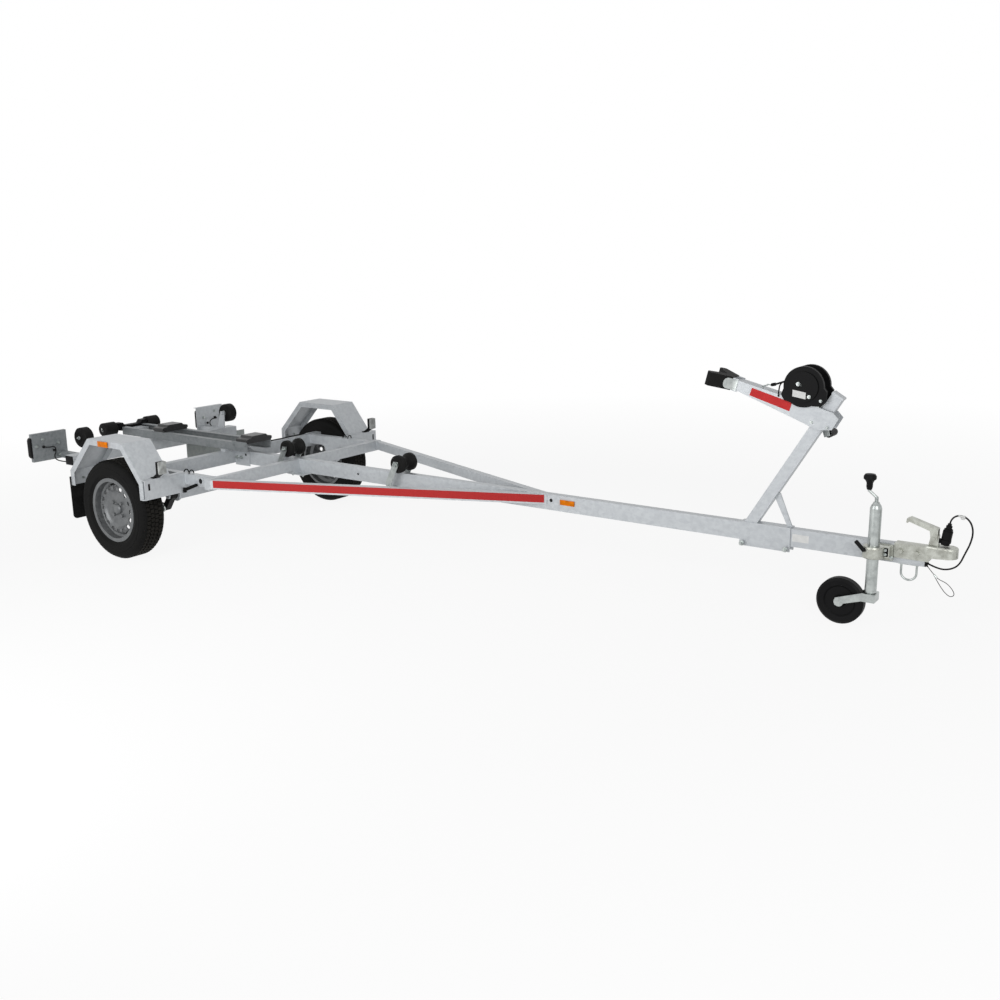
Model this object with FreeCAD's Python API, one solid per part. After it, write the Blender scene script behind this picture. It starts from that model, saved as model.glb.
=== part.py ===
import FreeCAD, Part
import math
import os

# Boat trailer, single axle, galvanised A-frame with one central drawbar.
# Millimetres. +X runs forward to the coupling, +Y to the trailer's left, +Z up.
# Every piece is drawn with the chassis level and X measured from the wheel axle.
# place() then drops the nose by STAND_TILT about the axle, as the trailer parks
# on its jockey wheel, and moves the origin under the middle of the whole trailer.

# ---------------------------------------------------------------- stance
STAND_TILT = 1.9        # degrees nose down when parked on the jockey wheel
ORIGIN_X = 1603.4       # distance from the wheel axle forward to the origin
AXLE_Z = 283.0          # height of the wheel centres above the floor

# ---------------------------------------------------------------- road wheels
TYRE_R = 283.0
TYRE_OUT = 912.0        # outer sidewall, from the centre plane
TYRE_IN = 756.0         # inner sidewall
BEAD_R = 168.0
FLANGE_R = 182.5        # rim flange
RIM_OUT = 900.0
RIM_IN = 768.0
DISC_FACE = 865.0       # outer face of the wheel disc at the lug circle
LUGS = 4
LUG_RING_R = 50.0
VENTS = 16
VENT_R = 14.0
VENT_RING_R = 126.0
HUB_R = 42.0
SPINDLE_R = 15.0

# ---------------------------------------------------------------- chassis
BAR_TOP = 489.0         # drawbar, box section
BAR_H = 80.0
BAR_W = 40.0
BAR_REAR = 35.3
BAR_FRONT = 4145.0
WALL = 3.0
MID_X = 35.0            # front face of the middle crossmember
MID_W = 50.0
MID_H = 80.0
MID_END = 712.0
FRONT_X = 592.0         # front face of the front crossmember
FRONT_W = 40.0
FRONT_BOT = 428.0
FRONT_H = 60.0
FRONT_END = 700.0
RAIL_IN = 620.0         # side rails between the two crossmembers
RAIL_OUT = 660.0
RAIL_HOLE_X = 472.0
ARM_REAR = 592.3        # V-arms, outer face from here ...
ARM_REAR_Y = 698.4
ARM_TIP = 2326.0        # ... to the drawbar side here
ARM_W = 40.0
ARM_H = 50.0
ARM_TOP = 485.0
TAIL_X = -720.0         # front face of the tail crossmember
TAIL_W = 80.0
TAIL_BOT = 415.0
TAIL_H = 60.0
TAIL_END = 650.0
KEEL_REAR = -985.0      # keel channels
KEEL_FRONT = 226.0
KEEL_IN = 60.0
KEEL_W = 35.0
KEEL_BOT = 503.0
KEEL_H = 50.0

# ---------------------------------------------------------------- axle
BEAM_X = 205.0          # cross tube that carries the hangers
BEAM_Z = 352.0
BEAM_S = 60.0
BEAM_END = 640.0
PIVOT_X = 236.0         # trailing arm pivot
PIVOT_Z = 354.0
KNEE_X = 182.0          # lowest point of the cranked trailing arm
KNEE_Z = 278.0
ARM_IN = 656.0          # trailing arm, between these distances from the centre plane
ARM_OUT = 692.0

# ---------------------------------------------------------------- fenders
FENDER_IN = 727.0
FENDER_OUT = 917.0
FENDER_TOP = 678.0
FENDER_T = 3.0
LIP = 34.0

# ---------------------------------------------------------------- jockey wheel
JOCKEY_X = 3953.0
JOCKEY_Y = -75.0
JOCKEY_R = 100.0
JOCKEY_W = 46.0
JOCKEY_TRAIL = 120.0
TUBE_R = 24.0
INNER_R = 20.0

# ---------------------------------------------------------------- winch post
POST_LEAN = 31.1        # degrees forward from upright
POST_FOOT_X = 3395.0
POST_D = 50.0           # along the trailer
POST_W = 40.0
POST_LEN = 690.0

# ---------------------------------------------------------------- rollers
# side rollers: X, axle height, radius, width; each stand is clamped at its own distance
SIDE_ROLLER = (-727.0, 579.0, 61.0, 66.0)
SIDE_ROLLER_Y = {"right": 555.0, "left": 588.0}
ROCK_X = -1030.0        # tail rocker
ROCK_Z = 520.0
ROCK_ROLLER_Y = 168.0   # its rollers: distance from the centre plane, height, radius, half width
ROCK_ROLLER_Z = 545.0
ROCK_ROLLER_R = 45.0
ROCK_ROLLER_HALF = 48.0
# keel rollers: node, X, axle height
KEEL_ROLLERS = (("rear", 520.0, 546.0), ("front", 1379.0, 544.0))

# ---------------------------------------------------------------- bow stop
BOW_X = 3290.0          # front face and middle height of its pads
BOW_Z = 1104.0
BOW_TIP = 14.2          # degrees, rising rearward

# ---------------------------------------------------------------- winch
WINCH_X = 3600.0        # drum shaft
WINCH_Z = 1118.0
COVER_X = 3615.0        # middle and radius of the cover's round part
COVER_Z = 1112.0
COVER_R = 86.0

# ---------------------------------------------------------------- coupling
BALL_X = 4230.0         # socket for a 50 mm ball
BALL_Z = 468.0
BALL_R = 25.4
LEVER_X = 4172.0        # lever pivot
LEVER_Z = 530.0
PLUG_X = 4219.0         # parked plug, middle of its body
PLUG_Z = 553.0
PLUG_LEAN = 8.0         # degrees forward
CABLE_R = 3.5
WIRE_R = 1.5

SIDES = (("right", -1), ("left", 1))

tilt = math.radians(STAND_TILT)


def place(shape):
    """Tip the level chassis onto the jockey wheel and move it to the origin."""
    out = shape.copy()
    out.rotate(FreeCAD.Vector(0, 0, AXLE_Z), FreeCAD.Vector(0, 1, 0), STAND_TILT)
    out.translate(FreeCAD.Vector(-ORIGIN_X, 0, 0))
    return out


def save(node, shape):
    if not shape.isValid():
        raise RuntimeError(node + " is not a valid solid")
    if len(shape.Solids) != 1:
        raise RuntimeError(node + " has %d solids" % len(shape.Solids))
    place(shape.Solids[0]).exportStep("parts/" + node + ".step")
    print(node, round(shape.Volume / 1000.0, 1), "cm3")


def box(x0, x1, y0, y1, z0, z1):
    lo = FreeCAD.Vector(min(x0, x1), min(y0, y1), min(z0, z1))
    return Part.makeBox(abs(x1 - x0), abs(y1 - y0), abs(z1 - z0), lo)


def rod(x, y, z, r, length, axis):
    """Round bar centred on the point, along the named axis."""
    way = {"x": (1, 0, 0), "y": (0, 1, 0), "z": (0, 0, 1)}[axis]
    d = FreeCAD.Vector(*way)
    start = FreeCAD.Vector(x, y, z) - d * (length / 2.0)
    return Part.makeCylinder(r, length, start, d)


def strut(a, b, r):
    """Round bar from point a to point b."""
    p = FreeCAD.Vector(*a)
    q = FreeCAD.Vector(*b)
    return Part.makeCylinder(r, (q - p).Length, p, q - p)


def side_plate(outline, y0, y1):
    """Flat plate cut to an X-Z outline, lying between two Y values."""
    pts = [FreeCAD.Vector(x, min(y0, y1), z) for x, z in outline]
    face = Part.Face(Part.makePolygon(pts + pts[:1]))
    return face.extrude(FreeCAD.Vector(0, abs(y1 - y0), 0))


def plan_plate(outline, z0, z1):
    """Block cut to an X-Y outline, between two heights."""
    pts = [FreeCAD.Vector(x, y, z0) for x, y in outline]
    face = Part.Face(Part.makePolygon(pts + pts[:1]))
    return face.extrude(FreeCAD.Vector(0, 0, z1 - z0))


def cross_plate(outline, x0, x1):
    """Block cut to a Y-Z outline, lying between two X values."""
    pts = [FreeCAD.Vector(min(x0, x1), y, z) for y, z in outline]
    face = Part.Face(Part.makePolygon(pts + pts[:1]))
    return face.extrude(FreeCAD.Vector(abs(x1 - x0), 0, 0))


def link(a, b, half, y0, y1):
    """Flat bar of even width between two X-Z points, with round ends."""
    dx, dz = b[0] - a[0], b[1] - a[1]
    run = math.hypot(dx, dz)
    nx, nz = -dz / run * half, dx / run * half
    bar = side_plate([(a[0] + nx, a[1] + nz), (b[0] + nx, b[1] + nz),
                      (b[0] - nx, b[1] - nz), (a[0] - nx, a[1] - nz)], y0, y1)
    y_mid, width = (y0 + y1) / 2.0, abs(y1 - y0)
    return bar.fuse(rod(a[0], y_mid, a[1], half, width, "y")).fuse(
        rod(b[0], y_mid, b[1], half, width, "y"))


def hex_head(x, z, flats, y0, y1):
    """Hexagon bolt head on a vertical side face."""
    r = flats / math.sqrt(3.0)
    corners = [(x + r * math.cos(math.radians(60 * i)), z + r * math.sin(math.radians(60 * i)))
               for i in range(6)]
    return side_plate(corners, y0, y1)


def turned(profile, x, y):
    """Revolve a (radius, height) outline about an upright line."""
    pts = [FreeCAD.Vector(x + r, y, z) for r, z in profile]
    face = Part.Face(Part.makePolygon(pts + pts[:1]))
    return face.revolve(FreeCAD.Vector(x, y, 0), FreeCAD.Vector(0, 0, 1), 360)


def round_edges(shape, r, along, wanted):
    """Round the edges along the named axes whose end points both satisfy a test."""
    picked = []
    for edge in shape.Edges:
        ends = [v.Point for v in edge.Vertexes]
        if len(ends) != 2 or not (wanted(ends[0]) and wanted(ends[1])):
            continue
        run = ends[1] - ends[0]
        longest = max((abs(run.x), "x"), (abs(run.y), "y"), (abs(run.z), "z"))[1]
        if longest in along:
            picked.append(edge)
    return shape.makeFillet(r, picked)


def spun(profile, x, z, side):
    """Revolve an (outward distance, radius) outline about a line along Y."""
    pts = [FreeCAD.Vector(x, side * out, z + r) for out, r in profile]
    face = Part.Face(Part.makePolygon(pts + pts[:1]))
    return face.revolve(FreeCAD.Vector(x, 0, z), FreeCAD.Vector(0, 1, 0), 360)


def fuse(first, *rest):
    out = first
    for shape in rest:
        out = out.fuse(shape)
    return out.removeSplitter()


def tube_x(x0, x1, y0, y1, z0, z1, wall):
    """Rectangular tube along X, open at both ends."""
    return box(x0, x1, y0, y1, z0, z1).cut(
        box(x0 - 1, x1 + 1, y0 + wall, y1 - wall, z0 + wall, z1 - wall))


def tube_y(x0, x1, y0, y1, z0, z1, wall):
    """Rectangular tube along Y, open at both ends."""
    lo, hi = min(y0, y1), max(y0, y1)
    return box(x0, x1, lo, hi, z0, z1).cut(
        box(x0 + wall, x1 - wall, lo - 1, hi + 1, z0 + wall, z1 - wall))


os.makedirs("parts", exist_ok=True)

# ================================================================ drawbar
bar_bot = BAR_TOP - BAR_H
half_bar = BAR_W / 2.0
drawbar = tube_x(BAR_REAR, BAR_FRONT, -half_bar, half_bar, bar_bot, BAR_TOP, WALL)
# cross hole ahead of the front crossmember
save("drawbar", drawbar.cut(rod(1052, 0, 448, 7, BAR_W + 2, "y")))

# ================================================================ V-arms
arm_dx = ARM_TIP - ARM_REAR
arm_dy = ARM_REAR_Y - half_bar
arm_len = math.hypot(arm_dx, arm_dy)
arm_slope = arm_dy / arm_dx
# plan width of the arm measured straight across the trailer
arm_across = ARM_W * arm_len / arm_dx


def arm_y(x):
    """Distance from the centre plane to an arm's outer face."""
    return half_bar + (ARM_TIP - x) * arm_slope


for name, s in SIDES:
    inner_tip = ARM_TIP - arm_across / arm_slope
    outline = [(ARM_REAR, s * arm_y(ARM_REAR)), (ARM_TIP, s * half_bar),
               (inner_tip, s * half_bar), (ARM_REAR, s * (arm_y(ARM_REAR) - arm_across))]
    v_arm = plan_plate(outline, ARM_TOP - ARM_H, ARM_TOP)
    w = WALL * arm_len / arm_dx
    hollow = [(ARM_REAR - 1, s * (arm_y(ARM_REAR - 1) - w)),
              (ARM_TIP - 60, s * (arm_y(ARM_TIP - 60) - w)),
              (inner_tip - 60, s * (arm_y(inner_tip - 60) - arm_across + w)),
              (ARM_REAR - 1, s * (arm_y(ARM_REAR - 1) - arm_across + w))]
    v_arm = v_arm.cut(plan_plate(hollow, ARM_TOP - ARM_H + WALL, ARM_TOP - WALL))
    save(name + "_frame_arm", v_arm)

# ================================================================ crossmembers
# middle crossmember runs right across; the drawbar butts on its front face
middle = tube_y(MID_X - MID_W, MID_X, -MID_END, MID_END, BAR_TOP - MID_H, BAR_TOP, WALL)
for name, s in SIDES:
    # cheek plates carry the drawbar's rear end
    cheek = side_plate([(MID_X - 1, bar_bot - 12), (MID_X + 125, bar_bot - 12),
                        (MID_X + 125, BAR_TOP - 6), (MID_X - 1, BAR_TOP + 46)],
                       s * (half_bar + 0.3), s * (half_bar + 5))
    # end plate takes the fender's inner edge
    stay = box(MID_X - MID_W, MID_X, s * (MID_END - 1), s * (FENDER_IN - 0.5), 440, BAR_TOP)
    # packer lifts the keel channel
    packer = box(MID_X - MID_W + 5, MID_X - 5, s * (KEEL_IN - 4), s * (KEEL_IN + KEEL_W + 4),
                 BAR_TOP - 1, KEEL_BOT - 0.3)
    middle = middle.fuse(cheek).fuse(stay).fuse(packer)
save("middle_crossmember", middle.removeSplitter())

# front crossmember in two halves, joined under the drawbar by a gusset plate;
# a side rail runs back from each end to the middle crossmember
front_top = FRONT_BOT + FRONT_H
front = box(FRONT_X - FRONT_W - 15, FRONT_X + 70, -75, 75, bar_bot - 6, bar_bot - 0.3)
for name, s in SIDES:
    half = tube_y(FRONT_X - FRONT_W, FRONT_X, s * (half_bar + 0.3), s * FRONT_END,
                  FRONT_BOT, front_top, WALL)
    packer = box(FRONT_X - FRONT_W, FRONT_X, s * (half_bar + 0.3), s * 75,
                 bar_bot - 1, FRONT_BOT + 1)
    rail = tube_x(MID_X + 0.3, FRONT_X - FRONT_W + 1, min(s * RAIL_IN, s * RAIL_OUT),
                  max(s * RAIL_IN, s * RAIL_OUT), FRONT_BOT, front_top, WALL)
    rail = rail.cut(rod(RAIL_HOLE_X, s * RAIL_OUT, FRONT_BOT + FRONT_H / 2.0, 15, 10, "y"))
    end_cap = box(FRONT_X - FRONT_W, FRONT_X, s * (FRONT_END - 3), s * FRONT_END,
                  FRONT_BOT, front_top)
    front = front.fuse(half).fuse(packer).fuse(rail).fuse(end_cap)
save("front_crossmember", front.removeSplitter())

tail_top = TAIL_BOT + TAIL_H
tail = tube_y(TAIL_X - TAIL_W, TAIL_X, -TAIL_END, TAIL_END, TAIL_BOT, tail_top, WALL)
# packer lifts the keel channels off the lower tail crossmember
tail = tail.fuse(box(TAIL_X - TAIL_W + 5, TAIL_X - 5, -100, 100, tail_top - 1, KEEL_BOT - 0.3))
# side roller stands: plate and axle pin on each end
for name, s in SIDES:
    x, z, r, width = SIDE_ROLLER
    y = SIDE_ROLLER_Y[name]
    yb = s * (y - width / 2.0 - 12)
    web = side_plate([(x - 60, tail_top - 1), (x + 6, tail_top - 1), (x + 20, z + 14),
                      (x - 20, z + 14)], yb - 4, yb + 4)
    pin = rod(x, s * (y - 10), z, 10, width + 30, "y")
    tail = tail.fuse(web).fuse(pin)
save("tail_crossmember", tail.removeSplitter())

# ================================================================ keel channels
for name, s in SIDES:
    y_in = s * KEEL_IN
    y_out = s * (KEEL_IN + KEEL_W)
    channel = box(KEEL_REAR, KEEL_FRONT, y_in, y_out, KEEL_BOT, KEEL_BOT + KEEL_H)
    channel = channel.cut(box(KEEL_REAR - 1, KEEL_FRONT + 1, s * (KEEL_IN - 1),
                              s * (KEEL_IN + KEEL_W - 4), KEEL_BOT + 4,
                              KEEL_BOT + KEEL_H - 4))
    # side plate that holds the front pad, with two bolts
    plate = box(97, 226, y_out - s, y_out + s * 4, 520, 562)
    channel = channel.fuse(plate)
    for x in (112, 212):
        channel = channel.fuse(hex_head(x, 540, 13, y_out, y_out + s * 9))
    save(name + "_keel_channel", channel.removeSplitter())

# keel pads: rubber blocks with a raised middle; columns are node, rear end, front end, half width
PADS = (("front_keel_pad", 137.0, 235.0, 100.0), ("rear_keel_pad", -654.0, -556.0, 100.0))
PAD_STEM = 93.7         # half width where a pad sits between the side plates
CROWN_Z = 596.0
pad_z = KEEL_BOT + KEEL_H
for node, rear, front_end, half in PADS:
    right = [(-PAD_STEM, pad_z), (-PAD_STEM, 562.3), (-half, 562.3), (-half, 576),
             (-half + 8, 581), (-66, 583), (-55, CROWN_Z)]
    left = [(-y, z) for y, z in reversed(right)]
    save(node, cross_plate(right + left, rear, front_end))

# ================================================================ axle
# square cross tube with a bracket at each end that bolts up under the side rail; the
# bracket's outer plate carries the pivot of the trailing arm
half_beam = BEAM_S / 2.0
beam_top = BEAM_Z + half_beam
rail_seat = FRONT_BOT - 0.3
beam = tube_y(BEAM_X - half_beam, BEAM_X + half_beam, -BEAM_END - 1, BEAM_END + 1,
              BEAM_Z - half_beam, beam_top, WALL)
for name, s in SIDES:
    foot = box(150, 300, s * (RAIL_IN + 2), s * (BEAM_END + 12), rail_seat - 6, rail_seat)
    inner = side_plate([(160, rail_seat - 5), (290, rail_seat - 5), (234, beam_top - 1),
                        (176, beam_top - 1)], s * (RAIL_IN + 2), s * (RAIL_IN + 6))
    outer = side_plate([(160, rail_seat - 5), (290, rail_seat - 5), (268, 330), (250, 318),
                        (172, 318), (164, 330)], s * BEAM_END, s * (BEAM_END + 12))
    pivot = rod(PIVOT_X, s * 676, PIVOT_Z, 10, 60, "y")
    head = hex_head(PIVOT_X, PIVOT_Z, 30, s * (ARM_OUT + 4), s * (ARM_OUT + 16))
    beam = beam.fuse(foot).fuse(inner).fuse(outer).fuse(pivot).fuse(head)
save("axle_beam", beam.removeSplitter())
# trailing arms: cranked down from the pivot to a knee, then back to the wheel spindle
for name, s in SIDES:
    y_mid = s * (ARM_IN + ARM_OUT) / 2.0
    width = ARM_OUT - ARM_IN
    upper = link((PIVOT_X, PIVOT_Z), (KNEE_X, KNEE_Z), 16, s * ARM_IN, s * ARM_OUT)
    lower = link((KNEE_X, KNEE_Z), (0, AXLE_Z), 17, s * (ARM_IN + 4), s * (ARM_OUT - 4))
    eye = rod(PIVOT_X, y_mid, PIVOT_Z, 25, width, "y")
    carrier = rod(0, y_mid, AXLE_Z, 34, width, "y")
    boss = rod(KNEE_X, s * (ARM_OUT + 3), KNEE_Z, 18, 8, "y")
    spindle = rod(0, s * 765, AXLE_Z, SPINDLE_R, 158, "y")
    trailing = fuse(upper, lower, eye, carrier, boss, spindle)
    save(name + "_axle_arm", trailing.cut(rod(PIVOT_X, y_mid, PIVOT_Z, 10.05, 80, "y")))

# ================================================================ road wheels
tyre_section = [(TYRE_IN + 13, BEAD_R), (TYRE_IN + 13, 180), (TYRE_IN + 2, 202),
                (TYRE_IN, 230), (TYRE_IN + 6, 262), (TYRE_IN + 20, TYRE_R - 3),
                (TYRE_IN + 34, TYRE_R), (TYRE_OUT - 34, TYRE_R), (TYRE_OUT - 20, TYRE_R - 3),
                (TYRE_OUT - 6, 262), (TYRE_OUT, 230), (TYRE_OUT - 2, 203),
                (TYRE_OUT - 15, 186), (TYRE_OUT - 15, BEAD_R)]
rim_section = [(RIM_IN, BEAD_R - 0.2), (RIM_IN, FLANGE_R - 6), (RIM_IN - 4, FLANGE_R - 6),
               (RIM_IN - 4, BEAD_R - 6), (RIM_IN + 35, BEAD_R - 8),
               (RIM_IN + 45, BEAD_R - 26), (RIM_OUT - 45, BEAD_R - 26),
               (RIM_OUT - 35, BEAD_R - 8), (RIM_OUT + 2, BEAD_R - 6),
               (RIM_OUT + 2, FLANGE_R), (RIM_OUT - 2, FLANGE_R), (RIM_OUT - 2, BEAD_R - 0.2),
               (RIM_OUT - 32, BEAD_R - 2), (RIM_OUT - 42, BEAD_R - 20),
               (RIM_IN + 42, BEAD_R - 20), (RIM_IN + 32, BEAD_R - 2)]
# pressed disc: welded in the rim's well, crowned under the vents, stepped down to the lugs
disc_section = [(DISC_FACE - 9, BEAD_R - 21), (DISC_FACE + 9, BEAD_R - 30), (DISC_FACE + 14, 129),
                (DISC_FACE + 13, 113), (DISC_FACE + 3, 102), (DISC_FACE, 95), (DISC_FACE, 26),
                (DISC_FACE - 5, 26), (DISC_FACE - 5, 97), (DISC_FACE - 2, 105),
                (DISC_FACE + 8, 115), (DISC_FACE + 9, 127), (DISC_FACE + 5, BEAD_R - 35),
                (DISC_FACE - 14, BEAD_R - 25)]
hub_section = [(702, SPINDLE_R + 0.05), (702, HUB_R - 2), (DISC_FACE - 20, HUB_R - 2),
               (DISC_FACE - 20, 66), (DISC_FACE - 4, 66), (DISC_FACE - 4, 30),
               (DISC_FACE + 8, 30), (DISC_FACE + 16, 25), (DISC_FACE + 20, 14),
               (DISC_FACE + 20, 0), (850, 0), (850, SPINDLE_R + 0.05)]
for name, s in SIDES:
    save(name + "_tyre", spun(tyre_section, 0, AXLE_Z, s))
    disc = spun(disc_section, 0, AXLE_Z, s)
    for i in range(VENTS):
        turn = 2 * math.pi * i / VENTS
        disc = disc.cut(rod(VENT_RING_R * math.cos(turn), s * DISC_FACE,
                            AXLE_Z + VENT_RING_R * math.sin(turn), VENT_R, 90, "y"))
    road_wheel = fuse(spun(rim_section, 0, AXLE_Z, s), disc, spun(hub_section, 0, AXLE_Z, s))
    for i in range(LUGS):
        turn = 2 * math.pi * (i + 0.5) / LUGS
        road_wheel = road_wheel.fuse(hex_head(LUG_RING_R * math.cos(turn),
                                              AXLE_Z + LUG_RING_R * math.sin(turn), 17,
                                              s * (DISC_FACE - 1), s * (DISC_FACE + 12)))
    save(name + "_wheel", road_wheel)

# ================================================================ fenders
# folded sheet: foot, front slope, flat top, rear slope, foot
fold = [(312, 378), (312, 475), (155, FENDER_TOP), (-153, FENDER_TOP),
        (-345, 477), (-345, 390)]
under = [(312 - FENDER_T, 378), (312 - FENDER_T, 474), (153.5, FENDER_TOP - FENDER_T),
         (-151.5, FENDER_TOP - FENDER_T), (-345 + FENDER_T, 476), (-345 + FENDER_T, 390)]
inset = [(312 - LIP, 378), (312 - LIP, 464), (139, FENDER_TOP - LIP),
         (-138, FENDER_TOP - LIP), (-345 + LIP, 463), (-345 + LIP, 390)]
for name, s in SIDES:
    skin = side_plate(fold + under[::-1], s * FENDER_IN, s * FENDER_OUT)
    lip = side_plate(fold + inset[::-1], s * (FENDER_OUT - FENDER_T), s * FENDER_OUT)
    inner_lip = side_plate(fold + inset[::-1], s * FENDER_IN, s * (FENDER_IN + FENDER_T))
    # foot bracket: channel across the front foot, butting on the side rail
    bracket = box(311, 345, s * (RAIL_OUT + 0.3), s * 930, 386, 496)
    bracket = bracket.cut(box(300, 341, s * RAIL_OUT, s * 931, 390, 492))
    save(name + "_fender", fuse(skin, lip, inner_lip, bracket))
    flap = box(-349.3, -345.3, s * (FENDER_IN + 10), s * (FENDER_OUT + 8), 190, 440)
    flap = round_edges(flap, 25, "x", lambda p: p.z < 200)
    save(name + "_mudflap", flap)
    # marker lamp on a rubber stalk that leans forward off the bracket
    stalk = side_plate([(316, 496.3), (345, 496.3), (374, 514), (398, 526), (398, 534),
                        (372, 534), (352, 520)], s * 834, s * 858)
    base = box(316, 345, s * 826, s * 866, 496.3, 502)
    lamp = box(372, 400, s * 822, s * 870, 524, 592)
    lamp = round_edges(lamp, 9, "yz", lambda p: p.x > 399)
    save(name + "_marker_lamp", fuse(stalk, base, lamp))

# ================================================================ tail lamps
for name, s in SIDES:
    face = box(-981, -979, s * 515, s * 752, 425, 600)
    top_edge = box(-1004, -979, s * 515, s * 752, 598, 600)
    outer_edge = box(-1004, -979, s * 750, s * 752, 425, 600)
    reach = box(-979, TAIL_X - TAIL_W, s * 540, s * 580, 432, 470)
    save(name + "_lamp_plate", fuse(face, top_edge, outer_edge, reach))
    body = box(-1026, -981.3, s * 530, s * 749.5, 445, 580)
    save(name + "_tail_lamp", round_edges(body, 22, "yz", lambda p: p.x < -1025))
save("number_plate_board", box(-802.5, -800.3, 270, 790, 302, 425))

# ================================================================ hull rollers
x, z, r, width = SIDE_ROLLER
half = width / 2.0
roller_section = [(-half, 10.05), (-half, r - 8), (8 - half, r), (half - 8, r), (half, r - 8),
                  (half, 34), (half - 7, 30), (half - 7, 19), (half, 16), (half, 10.05)]
for name, s in SIDES:
    section = [(SIDE_ROLLER_Y[name] + out, radius) for out, radius in roller_section]
    save(name + "_side_roller", spun(section, x, z, s))

# tail rocker: two small rollers on a stepped cradle that rocks across the keel line
hanger = box(-992, -915, 0.3 - KEEL_IN, KEEL_IN - 0.3, 500, 541)
save("rocker_hanger", fuse(hanger, rod(-1020, 0, ROCK_Z, 12, 60, "x")))
left_half = [(30, 500), (36, 521), (72, 522), (113, 530), (113, 578), (76, 578), (60, 558)]
right_half = [(-y, z) for y, z in reversed(left_half)]
cradle = cross_plate(left_half + right_half, -1048, -1000)
cradle = cradle.cut(rod(ROCK_X, 0, ROCK_Z, 12.05, 100, "x"))
for s in (-1, 1):
    cradle = cradle.fuse(rod(ROCK_X, s * 165, ROCK_ROLLER_Z, 8, 114, "y"))
save("rocker_cradle", cradle.removeSplitter())
for name, s in SIDES:
    section = [(ROCK_ROLLER_Y + out, radius) for out, radius in
               ((-ROCK_ROLLER_HALF, 8.05), (-ROCK_ROLLER_HALF, ROCK_ROLLER_R - 6),
                (6 - ROCK_ROLLER_HALF, ROCK_ROLLER_R), (ROCK_ROLLER_HALF - 6, ROCK_ROLLER_R),
                (ROCK_ROLLER_HALF, ROCK_ROLLER_R - 6), (ROCK_ROLLER_HALF, 8.05))]
    save(name + "_tail_roller", spun(section, ROCK_X, ROCK_ROLLER_Z, s))

for name, x, z in KEEL_ROLLERS:
    spool = spun([(-62, 10.05), (-62, 43), (-56, 49), (-36, 49), (-12, 30), (12, 30),
                  (36, 49), (56, 49), (62, 43), (62, 10.05)], x, z, 1)
    save(name + "_keel_roller", spool)
    pin = rod(x, 0, z, 10, 148, "y")
    bracket = pin
    for s in (-1, 1):
        bracket = bracket.fuse(side_plate(
            [(x - 75, 402), (x - 35, 402), (x - 35, 440), (x + 16, z - 8),
             (x + 16, z + 16), (x - 16, z + 16), (x - 75, 440)], s * 67, s * 71))
    bracket = bracket.fuse(box(x - 75, x - 35, -71, 71, 402, 408.7))
    save(name + "_keel_roller_bracket", bracket.removeSplitter())

# ================================================================ winch post
lean = math.radians(POST_LEAN)
ux, uz = math.sin(lean), math.cos(lean)


def on_post(along, across):
    """Point on the post, from its foot axis up and forward of that axis."""
    return (POST_FOOT_X + along * ux + across * uz, BAR_TOP + along * uz - across * ux)


half_d = POST_D / 2.0
foot_z = BAR_TOP + 4
foot_x = POST_FOOT_X + 4 * math.tan(lean)
post_outline = [(foot_x - half_d / uz, foot_z - 1), (foot_x + half_d / uz, foot_z - 1),
                on_post(POST_LEN, half_d), on_post(POST_LEN, -half_d)]
post = side_plate(post_outline, -POST_W / 2.0, POST_W / 2.0)
# flat brace from the post's front face down to the saddle
brace_x, brace_z = on_post(172, half_d)
post = post.fuse(side_plate([(brace_x - 5, brace_z + 12), (brace_x - 5, brace_z - 12),
                             (3560, foot_z - 1), (3582, foot_z - 1),
                             (brace_x + 16, brace_z + 14)], -4, 4))
# cap on the post's open top
cap = side_plate([on_post(POST_LEN - 6, half_d + 2), on_post(POST_LEN + 4, half_d + 2),
                  on_post(POST_LEN + 4, -half_d - 2), on_post(POST_LEN - 6, -half_d - 2)],
                 -POST_W / 2.0 - 2, POST_W / 2.0 + 2)
post = post.fuse(cap)
# saddle over the drawbar with two clamping bolts below it
post = post.fuse(box(3350, 3582, -26, 26, BAR_TOP + 0.3, foot_z))
for s in (-1, 1):
    post = post.fuse(box(3350, 3582, s * (half_bar + 0.3), s * 26, 384, foot_z))
for x in (3366, 3566):
    post = post.fuse(rod(x, 0, 397, 6, 76, "y"))
save("winch_post", post.removeSplitter())

# winch arm: folded channel, open below, that straddles the post near its top
arm_side = [(3315, 1120), (3686, 1026), (3741, 1010), (3764, 985), (3738, 938),
            (3670, 932), (3625, 954), (3317, 1073)]
arm_top = [(3315, 1120), (3686, 1026), (3686, 1022), (3315, 1116)]
winch_arm = fuse(side_plate(arm_side, 29, 33), side_plate(arm_side, -33, -29),
                 side_plate(arm_top, -33, 33), rod(3720, 0, 946, 6, 78, "y"),
                 box(3315, 3319, -33, 33, 1074, 1118))
# folded bracket on the arm's end that backs the two bow pads
low, high = BOW_Z - 29, BOW_Z + 27
bracket = fuse(box(BOW_X + 0.3, BOW_X + 4, -33, 33, low, high),
               box(BOW_X + 3, BOW_X + 30, -33, -29, low, high),
               box(BOW_X + 3, BOW_X + 30, 29, 33, low, high))
bracket.rotate(FreeCAD.Vector(BOW_X, 0, BOW_Z), FreeCAD.Vector(0, 1, 0), BOW_TIP)
winch_arm = winch_arm.fuse(bracket)
save("winch_arm", winch_arm.cut(side_plate(post_outline, -20.3, 20.3)))

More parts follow.
